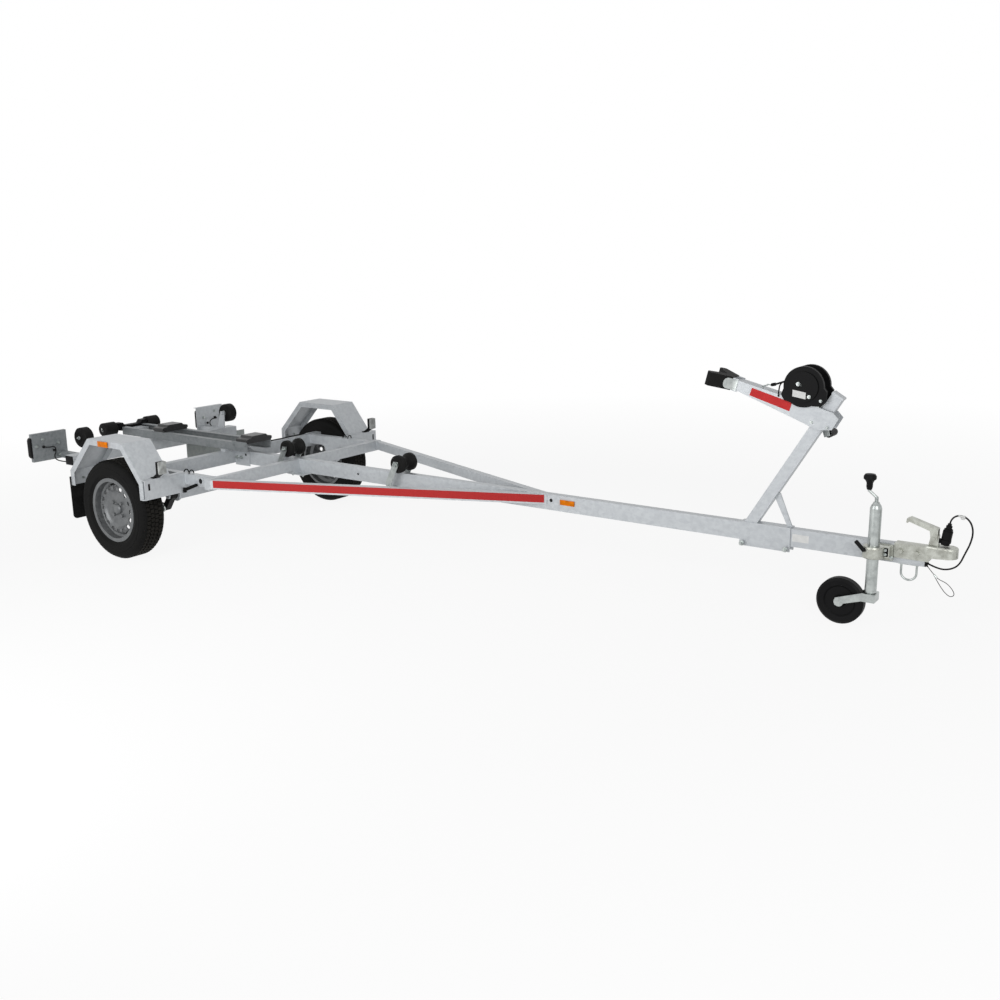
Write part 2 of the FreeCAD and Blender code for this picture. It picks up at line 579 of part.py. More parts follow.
# bow stop: two rubber pads in a V that opens rearward, tipped in line with the arm
pads = []
for s in (-1, 1):
    pads.append(plan_plate([(BOW_X, s * 2), (BOW_X, s * 32), (BOW_X - 86, s * 84),
                            (BOW_X - 104, s * 76), (BOW_X - 108, s * 60), (BOW_X - 44, s * 2)],
                           BOW_Z - 30, BOW_Z + 30))
stop = fuse(pads[0], pads[1], box(BOW_X - 46, BOW_X, -6, 6, BOW_Z - 30, BOW_Z + 30))
stop.rotate(FreeCAD.Vector(BOW_X, 0, BOW_Z), FreeCAD.Vector(0, 1, 0), BOW_TIP)
save("bow_stop", stop)

# ================================================================ winch
# frame: folded plate bolted on the arm, carrying the drum shaft in its cheeks
arm_fall = (1026 - 1120) / (3686.0 - 3315.0)
floor_rear = 1120 + (3530 - 3315) * arm_fall + 0.3
floor_front = 1120 + (3680 - 3315) * arm_fall + 0.3
cheek = [(3530, floor_rear), (3530, 1100), (3560, 1160), (3640, 1160), (3680, 1100),
         (3680, floor_front)]
floor = side_plate([(3530, floor_rear), (3680, floor_front), (3680, floor_front + 3),
                    (3530, floor_rear + 3)], -33, 33)
winch_frame = fuse(side_plate(cheek, 30, 33), side_plate(cheek, -33, -30), floor)
save("winch_frame", winch_frame.cut(rod(WINCH_X, 0, WINCH_Z, 9.05, 100, "y")))
drum = fuse(rod(WINCH_X, 0, WINCH_Z, 26, 50, "y"), rod(WINCH_X, 31, WINCH_Z, 9, 128, "y"))
save("winch_drum", drum)

# cover: two moulded D-shaped shells, joined along their rear edge by a strip
skirt = [(3529, 1100), (3520, 1076), (3534, 1052), (3600, 1034), (3690, 1034), (3712, 1058),
         (3714, 1096), (3701, 1112)]
shells = []
for s in (-1, 1):
    shell = fuse(side_plate(skirt, s * 33.3, s * 50),
                 rod(COVER_X, s * 41.65, COVER_Z, COVER_R, 16.7, "y"))
    shell = shell.fuse(rod(COVER_X, s * 52, COVER_Z, COVER_R - 22, 8, "y"))
    shells.append(shell.cut(rod(WINCH_X, s * 41, WINCH_Z, 9.4, 60, "y")))
strip = rod(COVER_X, 0, COVER_Z, COVER_R, 70, "y").cut(
    rod(COVER_X, 0, COVER_Z, COVER_R - 4, 80, "y"))
strip = strip.common(box(3480, 3600, -34, 34, 1132, 1210))
save("winch_cover", fuse(shells[0], shells[1], strip))

crank = side_plate([(WINCH_X - 14, WINCH_Z + 14), (WINCH_X + 14, WINCH_Z + 14),
                    (3696, 893), (3672, 884)], 80, 86)
crank = crank.cut(rod(WINCH_X, 80, WINCH_Z, 9, 40, "y"))
grip = fuse(rod(3684, 100, 897, 6, 36, "y"), rod(3684, 136, 897, 15, 80, "y"))
save("winch_crank", fuse(crank, grip))

# ================================================================ coupling
# shell that caps the drawbar, open below, held by two cross bolts
shell = box(4022, 4160, -24, 24, 432, 493.5)
shell = shell.cut(box(4021, BAR_FRONT + 0.3, -20.3, 20.3, 431, BAR_TOP + 0.3))
for x in (4048, 4112):
    for s in (-1, 1):
        shell = shell.fuse(hex_head(x, 462, 19, s * 23, s * 32))
# pressed head: widens from the shell, rounds the ball and has a rolled top edge
neck_r = [FreeCAD.Vector(x, -y, 440) for x, y in ((4147, 24), (4190, 32.5), (4218, 32.5))]
neck_l = [FreeCAD.Vector(x, y, 440) for x, y in ((4218, 32.5), (4190, 32.5), (4147, 24))]
nose = Part.Arc(neck_r[-1], FreeCAD.Vector(4266.5, 0, 440), neck_l[0]).toShape()
outline = Part.Wire([Part.makePolygon(neck_r).Edges[0], Part.makePolygon(neck_r).Edges[1], nose,
                     Part.makePolygon(neck_l).Edges[0], Part.makePolygon(neck_l).Edges[1],
                     Part.makeLine(neck_l[-1], neck_r[0])])
head = Part.Face(outline).extrude(FreeCAD.Vector(0, 0, 62))
head = round_edges(head, 10, "xy", lambda p: p.z > 501)
head = head.cut(side_plate([(4140, 439), (4140, 448), (4270, 458), (4290, 458), (4290, 439)],
                           -50, 50))
head = head.cut(Part.makeSphere(BALL_R, FreeCAD.Vector(BALL_X, 0, BALL_Z)))
head = head.cut(rod(BALL_X, 0, BALL_Z - 20, BALL_R, 40, "z"))
# lever pedestal
pedestal = side_plate([(4150, 492), (4190, 492), (4190, 545), (4160, 545)], -12, 12)
coupling = fuse(shell, head, pedestal)
save("coupling_body", coupling.cut(rod(LEVER_X, 0, LEVER_Z, 6.05, 60, "y")))

lever_side = [(4160, 520), (4184, 520), (4186, 545), (4186, 572), (4074, 606), (4062, 600),
              (4060, 584), (4066, 582), (4072, 588), (4154, 560)]
lever_top = [(4186, 572), (4074, 606), (4062, 600), (4060, 584), (4063, 583), (4065, 598),
             (4074, 603), (4186, 569)]
lever = fuse(side_plate(lever_side, 13, 16), side_plate(lever_side, -16, -13),
             side_plate(lever_top, -16, 16), rod(LEVER_X, 0, LEVER_Z, 6, 38, "y"))
save("coupling_lever", lever)

# safety chain ring: round bar bent to a U, welded under the drawbar
ring_z = 369
ring = fuse(rod(4050, 0, (408.7 + ring_z) / 2.0, 4.5, 408.7 - ring_z, "z"),
            rod(4112, 0, (408.7 + ring_z) / 2.0, 4.5, 408.7 - ring_z, "z"))
bend = Part.makeTorus(31, 4.5, FreeCAD.Vector(4081, 0, ring_z), FreeCAD.Vector(0, 1, 0))
bend = bend.common(box(4030, 4130, -10, 10, 290, ring_z))
save("safety_ring", fuse(ring, bend, box(4040, 4122, -12, 12, 404.7, 408.7)))

# ================================================================ cable and wire
CABLE_ROUTE = ((4156, 0, 418.5), (4196, 0, 403), (4240, 0, 408), (4273, 0, 432),
               (4291, 0, 483), (4307, 0, 524), (4315, 0, 570), (4306, 0, 609),
               (4282, 0, 633), (4251, 0, 636), (4228, 0, 617), (4225.27, 0, 597.56))
WIRE_ROUTE = ((4154, 0, 406.5), (4172, 0, 386), (4196, 0, 361), (4232, 0, 350),
              (4256, 0, 326), (4266, 0, 305), (4251, 0, 293), (4229, 0, 306),
              (4203, 0, 338), (4185.1, 0, 367.4))


def cord(node, route, r):
    """Round cord: straight runs joined by the largest arcs that the runs allow."""
    pts = [FreeCAD.Vector(*p) for p in route]
    edges = []
    here = pts[0]
    radii = []
    for a, b, c in zip(pts, pts[1:], pts[2:]):
        into = (b - a).normalize()
        out = (c - b).normalize()
        turn = into.getAngle(out)
        back = 0.45 * min((b - a).Length, (c - b).Length)
        radii.append(back / math.tan(turn / 2.0))
        start = b - into * back
        end = b + out * back
        toward = (out - into).normalize()
        middle = b + toward * (radii[-1] / math.cos(turn / 2.0) - radii[-1])
        edges.append(Part.LineSegment(here, start).toShape())
        edges.append(Part.Arc(start, middle, end).toShape())
        here = end
    edges.append(Part.LineSegment(here, pts[-1]).toShape())
    wire = Part.Wire(edges)
    ring = Part.Wire([Part.Circle(pts[0], pts[1] - pts[0], r).toShape()])
    solid = wire.makePipeShell([ring], True, False)
    print(node, "arc radii", [round(v, 1) for v in radii], "length", round(wire.Length),
          "volume ratio", round(solid.Volume / (math.pi * r * r * wire.Length), 4))
    save(node, solid)
    return pts


cable = cord("electric_cable", CABLE_ROUTE, CABLE_R)
wire = cord("breakaway_wire", WIRE_ROUTE, WIRE_R)

# cable outlet in the drawbar's open end, with a nozzle for each
outlet = box(BAR_FRONT + 0.3, BAR_FRONT + 6, -16, 16, 409, 429)
for pts, r in ((cable, 6.0), (wire, 3.0)):
    along = (pts[1] - pts[0]).normalize()
    outlet = outlet.fuse(Part.makeCylinder(r, 9, pts[0] - along * 9, along))
save("cable_outlet", outlet.removeSplitter())

# crimped sleeve that closes the wire's loop
sleeve_way = (wire[2] - wire[1]).normalize()
sleeve_mid = wire[1] + sleeve_way * 20
sleeve = Part.makeCylinder(4.5, 16, sleeve_mid - sleeve_way * 8, sleeve_way)
save("breakaway_sleeve", sleeve)

# plug in its parking clip
plug_foot = FreeCAD.Vector(PLUG_X, 0, PLUG_Z)
plug_way = FreeCAD.Vector(math.sin(math.radians(PLUG_LEAN)), 0, math.cos(math.radians(PLUG_LEAN)))
PLUG_STEPS = ((-45, -20, 17), (-20, 14, 19.5), (14, 22, 17), (22, 36, 12), (36, 45, 8))
plug_body = []
for low, high, r in PLUG_STEPS:
    plug_body.append(Part.makeCylinder(r, high - low, plug_foot + plug_way * low, plug_way))
save("plug", fuse(*plug_body))
clip = Part.makeCylinder(20.5, 12, plug_foot - plug_way * 35, plug_way)
clip = clip.cut(Part.makeCylinder(17.3, 14, plug_foot - plug_way * 36, plug_way))
clip = clip.fuse(box(4190.3, 4196, -9, 9, 513, 531))
save("plug_holder", clip.cut(Part.makeCylinder(17.3, 14, plug_foot - plug_way * 36, plug_way)))

# ================================================================ jockey wheel
# height that puts the wheel on the floor once the nose is down
rise = (JOCKEY_X - JOCKEY_TRAIL) * math.sin(tilt)
jockey_z = AXLE_Z + (JOCKEY_R - AXLE_Z + rise) / math.cos(tilt)
print("jockey wheel centre height", round(jockey_z, 2))
outer = rod(JOCKEY_X, JOCKEY_Y, 458, TUBE_R, 348, "z")
outer = outer.cut(rod(JOCKEY_X, JOCKEY_Y, 453, INNER_R + 0.05, 350, "z"))
# domed bearing cap for the screw handle
dome = turned([(0, 631), (24, 631), (24, 642), (20, 654), (13, 663), (13, 667), (0, 667)],
              JOCKEY_X, JOCKEY_Y)
outer = outer.fuse(dome)
save("jockey_outer_tube", outer.cut(rod(JOCKEY_X, JOCKEY_Y, 650, 7.05, 60, "z")))
# cast clamp on the drawbar side, with its locking handle
clamp = fuse(turned([(0, 433), (40, 433), (43, 438), (43, 476), (40, 483), (0, 483)],
                    JOCKEY_X, JOCKEY_Y),
             box(JOCKEY_X - 10, JOCKEY_X + 62, -half_bar - 12, JOCKEY_Y + 8, 437, 481),
             box(JOCKEY_X - 26, JOCKEY_X + 68, -half_bar - 0.3, -half_bar - 13, 418, 484))
clamp = clamp.cut(rod(JOCKEY_X, JOCKEY_Y, 459, TUBE_R + 0.3, 80, "z"))
handle = fuse(strut((JOCKEY_X - 28, JOCKEY_Y - 24, 470), (JOCKEY_X - 46, JOCKEY_Y - 38, 482), 6),
              strut((JOCKEY_X - 26, JOCKEY_Y - 38, 466), (JOCKEY_X - 62, JOCKEY_Y - 38, 502), 7))
save("jockey_clamp", fuse(clamp, handle))
inner = rod(JOCKEY_X, JOCKEY_Y, 442, INNER_R, 320, "z")
save("jockey_inner_tube", inner.cut(rod(JOCKEY_X, JOCKEY_Y, 300, 14.05, 84, "z")))
fork_x = JOCKEY_X - JOCKEY_TRAIL
crown = box(JOCKEY_X - 12, JOCKEY_X + 27, JOCKEY_Y - 33, JOCKEY_Y + 33, 246, 281)
stem = rod(JOCKEY_X, JOCKEY_Y, 293, 14, 90, "z")
cheeks = []
for s in (-1, 1):
    cheeks.append(side_plate([(fork_x - 16, jockey_z - 16), (fork_x - 16, jockey_z + 16),
                              (JOCKEY_X - 28, 281), (JOCKEY_X - 10, 281),
                              (JOCKEY_X - 10, 246), (JOCKEY_X - 28, 246)],
                             JOCKEY_Y + s * 29, JOCKEY_Y + s * 33))
    cheeks.append(rod(fork_x, JOCKEY_Y + s * 31, jockey_z, 20, 4, "y"))
pin = rod(fork_x, JOCKEY_Y, jockey_z, 7, 70, "y")
save("jockey_fork", fuse(crown, *cheeks, pin, stem))
tread_section = [(-23, 7.05), (-23, 22), (-14, 26), (-14, 62), (-20, 68), (-23, 90),
                 (-16, JOCKEY_R), (16, JOCKEY_R), (23, 90), (20, 68), (14, 62), (14, 26),
                 (23, 22), (23, 7.05)]
castor = spun(tread_section, fork_x, jockey_z, 1)
castor.translate(FreeCAD.Vector(0, JOCKEY_Y, 0))
save("jockey_wheel", castor)
# screw handle: shaft in the tube's cap, cranked over to a mushroom knob
knob_x = JOCKEY_X - 32
knob = turned([(0, 716), (9, 716), (12, 727), (12, 744), (17, 754), (25, 761), (25, 772),
               (20, 779), (0, 781)], knob_x, JOCKEY_Y)
crank = fuse(rod(JOCKEY_X, JOCKEY_Y, 648, 7, 82, "z"),
             strut((JOCKEY_X, JOCKEY_Y, 686), (knob_x, JOCKEY_Y, 712), 6),
             rod(knob_x, JOCKEY_Y, 714, 6, 14, "z"), knob)
save("jockey_crank", crank)
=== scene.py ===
import bpy
import bmesh
import math
from mathutils import Matrix, Vector


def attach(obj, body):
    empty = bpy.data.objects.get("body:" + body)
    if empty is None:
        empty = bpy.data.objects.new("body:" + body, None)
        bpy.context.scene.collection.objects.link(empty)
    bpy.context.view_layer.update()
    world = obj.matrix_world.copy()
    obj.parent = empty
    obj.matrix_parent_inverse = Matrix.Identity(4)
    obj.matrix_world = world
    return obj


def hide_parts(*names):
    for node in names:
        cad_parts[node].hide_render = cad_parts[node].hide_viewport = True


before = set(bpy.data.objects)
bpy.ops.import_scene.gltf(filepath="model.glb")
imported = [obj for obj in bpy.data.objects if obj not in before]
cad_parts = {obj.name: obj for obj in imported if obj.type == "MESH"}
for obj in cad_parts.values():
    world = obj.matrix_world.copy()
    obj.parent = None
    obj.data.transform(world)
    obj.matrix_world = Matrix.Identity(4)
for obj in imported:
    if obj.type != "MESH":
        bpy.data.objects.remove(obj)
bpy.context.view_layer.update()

# ---- Galvanised chassis ----
# Steel sections and folded plate, welded and drilled, then dipped whole in molten zinc:
# drawbar, arms, crossmembers, keel channels, axle, winch post, fenders and lamp plates.


def hex_colour(text):
    """sRGB hex to the linear colour that a shader takes."""
    out = []
    for i in (0, 2, 4):
        v = int(text[i:i + 2], 16) / 255
        out.append(v / 12.92 if v <= 0.04045 else ((v + 0.055) / 1.055) ** 2.4)
    return (*out, 1.0)


def node(tree, kind, links=(), values=(), stops=(), **settings):
    """Adds a node: links and values go to its sockets, stops of position and hex colour to
    its colour ramp, and settings to its properties."""
    made = tree.nodes.new(kind)
    for key, value in settings.items():
        setattr(made, key, value)
    for key, value in dict(values).items():
        made.inputs[key].default_value = value
    for key, source in dict(links).items():
        tree.links.new(source, made.inputs[key])
    for i, (position, colour) in enumerate(stops):
        made.color_ramp.elements[i].position = position
        made.color_ramp.elements[i].color = hex_colour(colour)
    return made


def empty_tree(owner):
    """The node tree of a material or a world, cleared."""
    owner.use_nodes = True
    owner.node_tree.nodes.clear()
    return owner.node_tree


def new_material(name):
    """A material with its tree, its surface shader and its Object coordinates."""
    material = bpy.data.materials.new(name)
    tree = empty_tree(material)
    surface = node(tree, "ShaderNodeBsdfPrincipled")
    node(tree, "ShaderNodeOutputMaterial", {"Surface": surface.outputs["BSDF"]})
    place = node(tree, "ShaderNodeTexCoord").outputs["Object"]
    return material, tree, surface, place


def zinc_dipped(name, pale, dark, roughness):
    """Hot-dip galvanising: flat crystals, cloudy runs and a fine tooth."""
    material, tree, surface, place = new_material(name)
    # crystals about 15 mm across, 65 to the metre, each a slightly different grey
    cells = node(tree, "ShaderNodeTexVoronoi", {"Vector": place}, {"Scale": 65.0})
    # runs about 40 mm long and 20 mm wide: noise drawn out along the trailer
    drawn = node(tree, "ShaderNodeMapping", {"Vector": place}, {"Scale": (26.0, 48.0, 48.0)})
    cloud = node(tree, "ShaderNodeTexNoise", {"Vector": drawn.outputs["Vector"]},
                 {"Scale": 1.0, "Detail": 6.0, "Roughness": 0.62})
    blend = node(tree, "ShaderNodeMix", {"A": cloud.outputs["Fac"], "B": cells.outputs["Color"]},
                 {"Factor": 0.25})
    tone = node(tree, "ShaderNodeValToRGB", {"Fac": blend.outputs["Result"]},
                stops=((0.32, dark), (0.62, pale)))
    tree.links.new(tone.outputs["Color"], surface.inputs["Base Color"])
    gloss = node(tree, "ShaderNodeMapRange", {"Value": cells.outputs["Color"]},
                 {"To Min": roughness - 0.08, "To Max": roughness + 0.08})
    tree.links.new(gloss.outputs["Result"], surface.inputs["Roughness"])
    # the real tooth is finer than 1 mm: drawn at about 3 mm, so that it shows
    grain = node(tree, "ShaderNodeTexNoise", {"Vector": place}, {"Scale": 300.0, "Detail": 2.0})
    bump = node(tree, "ShaderNodeBump", {"Height": grain.outputs["Fac"]},
                {"Strength": 0.12, "Distance": 0.0004})
    tree.links.new(bump.outputs["Normal"], surface.inputs["Normal"])
    surface.inputs["Metallic"].default_value = 0.3
    return material


def dress(material, *names):
    """Puts one material on CAD nodes as they stand."""
    for name in names:
        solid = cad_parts[name]
        solid.data.materials.clear()
        solid.data.materials.append(material)


# hot-dip zinc that has dulled: pale, slightly blue grey, soft to the eye and never
# mirror-bright
galvanised = zinc_dipped("hot_dip_galvanised_steel", "c0c4c7", "b2b6ba", 0.42)
dress(galvanised, "drawbar", "right_frame_arm", "left_frame_arm", "middle_crossmember",
      "front_crossmember", "tail_crossmember", "axle_beam", "rocker_hanger", "winch_post",
      "winch_arm", "right_fender", "left_fender", "left_lamp_plate")
# the keel channels and one lamp plate get a darker, flatter zinc: the darkness is painted shade,
# for the shadow these parts stand in
shaded_zinc = zinc_dipped("shade_darkened_galvanised_steel", "888c8e", "767b7d", 0.5)
dress(shaded_zinc, "right_keel_channel", "left_keel_channel", "right_lamp_plate")

# Pieces are drawn with the chassis level, in millimetres ahead of the axle. Parked on its
# jockey wheel, the trailer stands nose down.
STANCE = 1.9  # degrees nose down
AXLE_HEIGHT = 283  # mm
ORIGIN_AHEAD = 1.6034  # metres from the axle forward to the part's origin
level = (Matrix.Translation((-ORIGIN_AHEAD, 0, AXLE_HEIGHT / 1000))
         @ Matrix.Rotation(math.radians(STANCE), 4, "Y")
         @ Matrix.Translation((0, 0, -AXLE_HEIGHT / 1000)))
millimetres = level @ Matrix.Scale(0.001, 4)
CRISP = math.radians(35)  # an edge that turns more than this stays sharp


def new_object(name, data):
    """An object at the origin of the scene."""
    made = bpy.data.objects.new(name, data)
    bpy.context.collection.objects.link(made)
    return made


def ride_piece(name, data, body):
    """A finished piece that rides on its body."""
    piece = new_object(name, data)
    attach(piece, body)
    return piece


def finish_piece(name, bm, body, slot, *materials):
    """Takes a form from level millimetres to the parked pose and makes it a piece."""
    bmesh.ops.transform(bm, matrix=millimetres, verts=bm.verts)
    bmesh.ops.recalc_face_normals(bm, faces=bm.faces)
    mesh = bpy.data.meshes.new(name)
    bm.to_mesh(mesh)
    bm.free()
    for face in mesh.polygons:
        face.use_smooth = True
    mesh.set_sharp_from_angle(angle=CRISP)
    for material in materials:
        mesh.materials.append(material)
    return ride_piece(name, mesh, body)


def slab(bm, corners, thick, soften=0.0, index=0):
    """Plate from an outline of points, thickened along a vector, with softened edges."""
    bottom = [bm.verts.new(c) for c in corners]
    top = [bm.verts.new(Vector(c) + Vector(thick)) for c in corners]
    count = len(corners)
    faces = [bm.faces.new(bottom), bm.faces.new(top[::-1])]
    for i in range(count):
        j = (i + 1) % count
        faces.append(bm.faces.new((bottom[i], top[i], top[j], bottom[j])))
    for face in faces:
        face.material_index = index
    if soften:
        edges = list({e for f in faces for e in f.edges})
        made = bmesh.ops.bevel(bm, geom=edges, offset=soften, segments=2, profile=0.6,
                               affect="EDGES", clamp_overlap=True)
        for face in made["faces"]:
            face.material_index = index


def brick(bm, low, high, soften=0.0):
    """Block between two corners."""
    (x0, y0, z0), (x1, y1, z1) = low, high
    slab(bm, [(x0, y0, z0), (x1, y0, z0), (x1, y1, z0), (x0, y1, z0)], (0, 0, z1 - z0), soften)


def ring(bm, centre, side, other, radius, steps):
    """Vertices in a circle, in the plane of two unit directions."""
    turns = [math.tau * i / steps for i in range(steps)]
    return [bm.verts.new(centre + (side * math.cos(t) + other * math.sin(t)) * radius)
            for t in turns]


def skin(bm, rings):
    """Faces from each ring to the next. A ring of one vertex is a pole."""
    for a, b in zip(rings, rings[1:]):
        steps = max(len(a), len(b))
        for i in range(steps):
            j = (i + 1) % steps
            corners = dict.fromkeys((a[i % len(a)], a[j % len(a)], b[j % len(b)],
                                     b[i % len(b)]))
            if len(corners) > 2:
                bm.faces.new(list(corners))


def lathe(bm, profile, centre, axis, steps):
    """Turned form: (along the axis, radius) outline revolved about an axis at a point."""
    way = Vector(axis).normalized()
    side = way.orthogonal().normalized()
    other = way.cross(side)
    rings = []
    for along, radius in profile:
        middle = Vector(centre) + way * along
        rings.append(ring(bm, middle, side, other, radius, steps) if radius
                     else [bm.verts.new(middle)])
    skin(bm, rings)


def hose(bm, points, radius, steps=8):
    """Round bar, wire or hose along a run of points, with closed ends."""
    run = [Vector(p) for p in points]
    rings = []
    normal = None
    for i, place in enumerate(run):
        ahead = (run[min(i + 1, len(run) - 1)] - run[max(i - 1, 0)]).normalized()
        if normal is None:
            normal = ahead.orthogonal().normalized()
        normal = (normal - ahead * normal.dot(ahead)).normalized()
        rings.append(ring(bm, place, normal, ahead.cross(normal), radius, steps))
    skin(bm, rings)
    bm.faces.new(rings[0])
    bm.faces.new(rings[-1][::-1])


# weld beads where arms, rails and crossmembers meet, run by hand and dipped with the rest:
# the ends of each on the left, which the right mirrors
WELDS = (
    ((593, 657, 434), (593, 657, 486)), ((593, 657, 486), (593, 697, 486)),
    ((593, 699, 436), (593, 699, 486)), ((551, 619, 488), (551, 661, 488)),
    ((2324, 21, 437), (2324, 21, 486)), ((2206, 21, 437), (2206, 21, 486)),
    ((36, 619, 430), (36, 619, 487)), ((36, 620, 488.3), (36, 660, 488.3)),
    ((592, 21, 430), (592, 21, 487)), ((551, 21, 488), (591, 21, 488)),
    ((346, 661, 440), (346, 661, 486)),
)
BEAD_RADIUS, BEAD_STEP = 2.2, 5  # mm
bm = bmesh.new()
for start, end in WELDS:
    for s in (-1, 1):
        a, b = Vector(start), Vector(end)
        count = max(3, int((b - a).length / BEAD_STEP))
        bead = [a.lerp(b, i / count) for i in range(count + 1)]
        for spot in bead:
            spot.y *= s
        hose(bm, bead, BEAD_RADIUS, 6)
finish_piece("weld_beads", bm, "frame", "galvanised", galvanised)

# ---- Zinc-plated fittings ----
# Pressed, cast and turned steel with a thin bright zinc plate, bolted on: coupling, jockey
# wheel tubes, winch, safety ring and roller brackets. The number plate board is bare.


def clouded_metal(name, pale, dark, roughness, metallic=0.9):
    """Plated, painted or bare metal: slight clouding of tone and gloss, and a fine grain."""
    material, tree, surface, place = new_material(name)
    # clouds about 30 mm across
    cloud = node(tree, "ShaderNodeTexNoise", {"Vector": place},
                 {"Scale": 30.0, "Detail": 5.0, "Roughness": 0.65})
    tone = node(tree, "ShaderNodeValToRGB", {"Fac": cloud.outputs["Fac"]},
                stops=((0.35, dark), (0.62, pale)))
    tree.links.new(tone.outputs["Color"], surface.inputs["Base Color"])
    gloss = node(tree, "ShaderNodeMapRange", {"Value": cloud.outputs["Fac"]},
                 {"To Min": roughness - 0.1, "To Max": roughness + 0.1})
    tree.links.new(gloss.outputs["Result"], surface.inputs["Roughness"])
    # the real grain is far finer: drawn at about 4 mm, so that it shows
    grain = node(tree, "ShaderNodeTexNoise", {"Vector": place}, {"Scale": 260.0, "Detail": 3.0})
    bump = node(tree, "ShaderNodeBump", {"Height": grain.outputs["Fac"]},
                {"Strength": 0.15, "Distance": 0.0003})
    tree.links.new(bump.outputs["Normal"], surface.inputs["Normal"])
    surface.inputs["Metallic"].default_value = metallic
    return material


# bright zinc plate on drawn and pressed steel: smoother than the dip, with clear highlights
plated = clouded_metal("bright_zinc_plated_steel", "b9bebc", "9da2a1", 0.32)
dress(plated, "jockey_outer_tube", "jockey_inner_tube", "jockey_fork", "jockey_crank",
      "winch_drum", "winch_crank", "winch_frame", "safety_ring", "rear_keel_roller_bracket",
      "front_keel_roller_bracket", "breakaway_sleeve")
# the same plate on rougher castings: a warm tinge and wider highlights
cast = clouded_metal("zinc_plated_casting", "babcb5", "9b9c94", 0.4)
dress(cast, "coupling_body", "coupling_lever", "jockey_clamp")
# bare sheet: an even mid grey that hardly shines
board = clouded_metal("bare_grey_board", "9a9f9d", "868b8a", 0.5, 0.5)
dress(board, "number_plate_board")

# ---- Bolts and nuts ----
# Zinc-plated steel bolts with washers and hexagon nuts, tightened on the clamped parts.
# Geometry Nodes set one on every spot of a table, turned to face out of its plate.

# level place in mm, facing direction, width across the flats in mm
BOLTS = [
    # drawbar's rear end between the middle crossmember's cheeks
    *((x, s * 25, z, 0, s, 0, 17) for s in (-1, 1) for x, z in ((52, 445), (92, 448))),
    # saddle of the winch post, below the drawbar
    *((x, s * 38, 397, 0, s, 0, 17) for s in (-1, 1) for x in (3366, 3566)),
    # winch arm through the post
    *((x, s * 33, z, 0, s, 0, 10) for s in (-1, 1) for x, z in ((3651, 964), (3720, 946))),
    # axle brackets up into the side rails
    *((x, s * 633, 421.7, 0, 0, -1, 10) for s in (-1, 1) for x in (175, 275)),
    # rubber flap on the fender's rear foot
    *((x, s * y, 423, way, 0, 0, 11) for s in (-1, 1) for y in (775, 842, 905)
      for x, way in ((-341.9, 1), (-351.9, -1))),
    # keel roller brackets under the drawbar, and their roller pins
    *((x - 55, s * 71, 420, 0, s, 0, 13) for s in (-1, 1) for x in (520, 1379)),
    *((x, s * 74, z, 0, s, 0, 19) for s in (-1, 1) for x, z in ((520, 546), (1379, 544))),
    # side roller pins and stands
    (-727, -593.2, 579, 0, -1, 0, 12), (-727, 626.2, 579, 0, 1, 0, 12),
    (-760, -514, 490, 0, -1, 0, 17), (-760, 547, 490, 0, 1, 0, 17),
    # lamp plate arms, and the plates on their ends
    *((x, s * 580, 452, 0, s, 0, 13) for s in (-1, 1) for x in (-815, -865, -960)),
    # studs of the tail lamps through their plates
    *((-978.9, s * y, z, 1, 0, 0, 15) for s in (-1, 1)
      for y, z in ((680, 560), (725, 520), (577, 525))),
    # number plate board on the tail crossmember
    *((-802.6, y, 418, -1, 0, 0, 10) for y in (300, 440, 620, 760)),
    # fender skins on their brackets, low on the front slope
    *((303.1, s * y, 487.4, 0.79, 0, 0.61, 9) for s in (-1, 1) for y in (762, 882)),
    # trailing arm knees
    *((182, s * 699.2, 278, 0, s, 0, 22) for s in (-1, 1)),
    # winch cover
    *((x, s * y, z, 0, s, 0, size) for s in (-1, 1)
      for x, y, z, size in ((3594, 56.1, 1124, 12), (3643, 56.1, 1073, 11),
                            (3691, 50.1, 1058, 9))),
    # jockey clamp's plate to the drawbar, and its jaw
    *((x, -33.4, z, 0, -1, 0, 11) for x, z in ((3934, 431), (4015, 431))),
    (3999, -67.5, 468, 0, -1, 0, 9), (3999, -67.5, 450, 0, -1, 0, 9),
    # gusset under the drawbar at the front crossmember
    *((x, s * 50, 402.6, 0, 0, -1, 13) for s in (-1, 1) for x in (560, 640)),
]
DRAWN_FLATS = 13  # mm: a bolt of this width is instanced at its true size
DRAWN_CORNERS = 0.015  # metres across the corners of that bolt's nut


def new_group(name, **inputs):
    """A geometry group: spots and a finish, its sizes as named inputs, and their keys."""
    group = bpy.data.node_groups.new(name, "GeometryNodeTree")
    keys = [group.interface.new_socket(label, in_out="INPUT",
                                       socket_type="NodeSocket" + kind).identifier
            for label, kind in (("Spots", "Geometry"), *inputs.items(), ("Finish", "Material"))]
    group.interface.new_socket("Pieces", in_out="OUTPUT", socket_type="NodeSocketGeometry")
    return group, group.nodes.new("NodeGroupInput").outputs, keys[1:]


def end_group(group, given, grown):
    """Makes the instances real, gives them the finish and hands them out."""
    real = node(group, "GeometryNodeRealizeInstances", {"Geometry": grown.outputs[0]})
    coated = node(group, "GeometryNodeSetMaterial", {"Geometry": real.outputs[0],
                                                     "Material": given["Finish"]})
    result = group.nodes.new("NodeGroupOutput")
    group.links.new(coated.outputs[0], result.inputs["Pieces"])


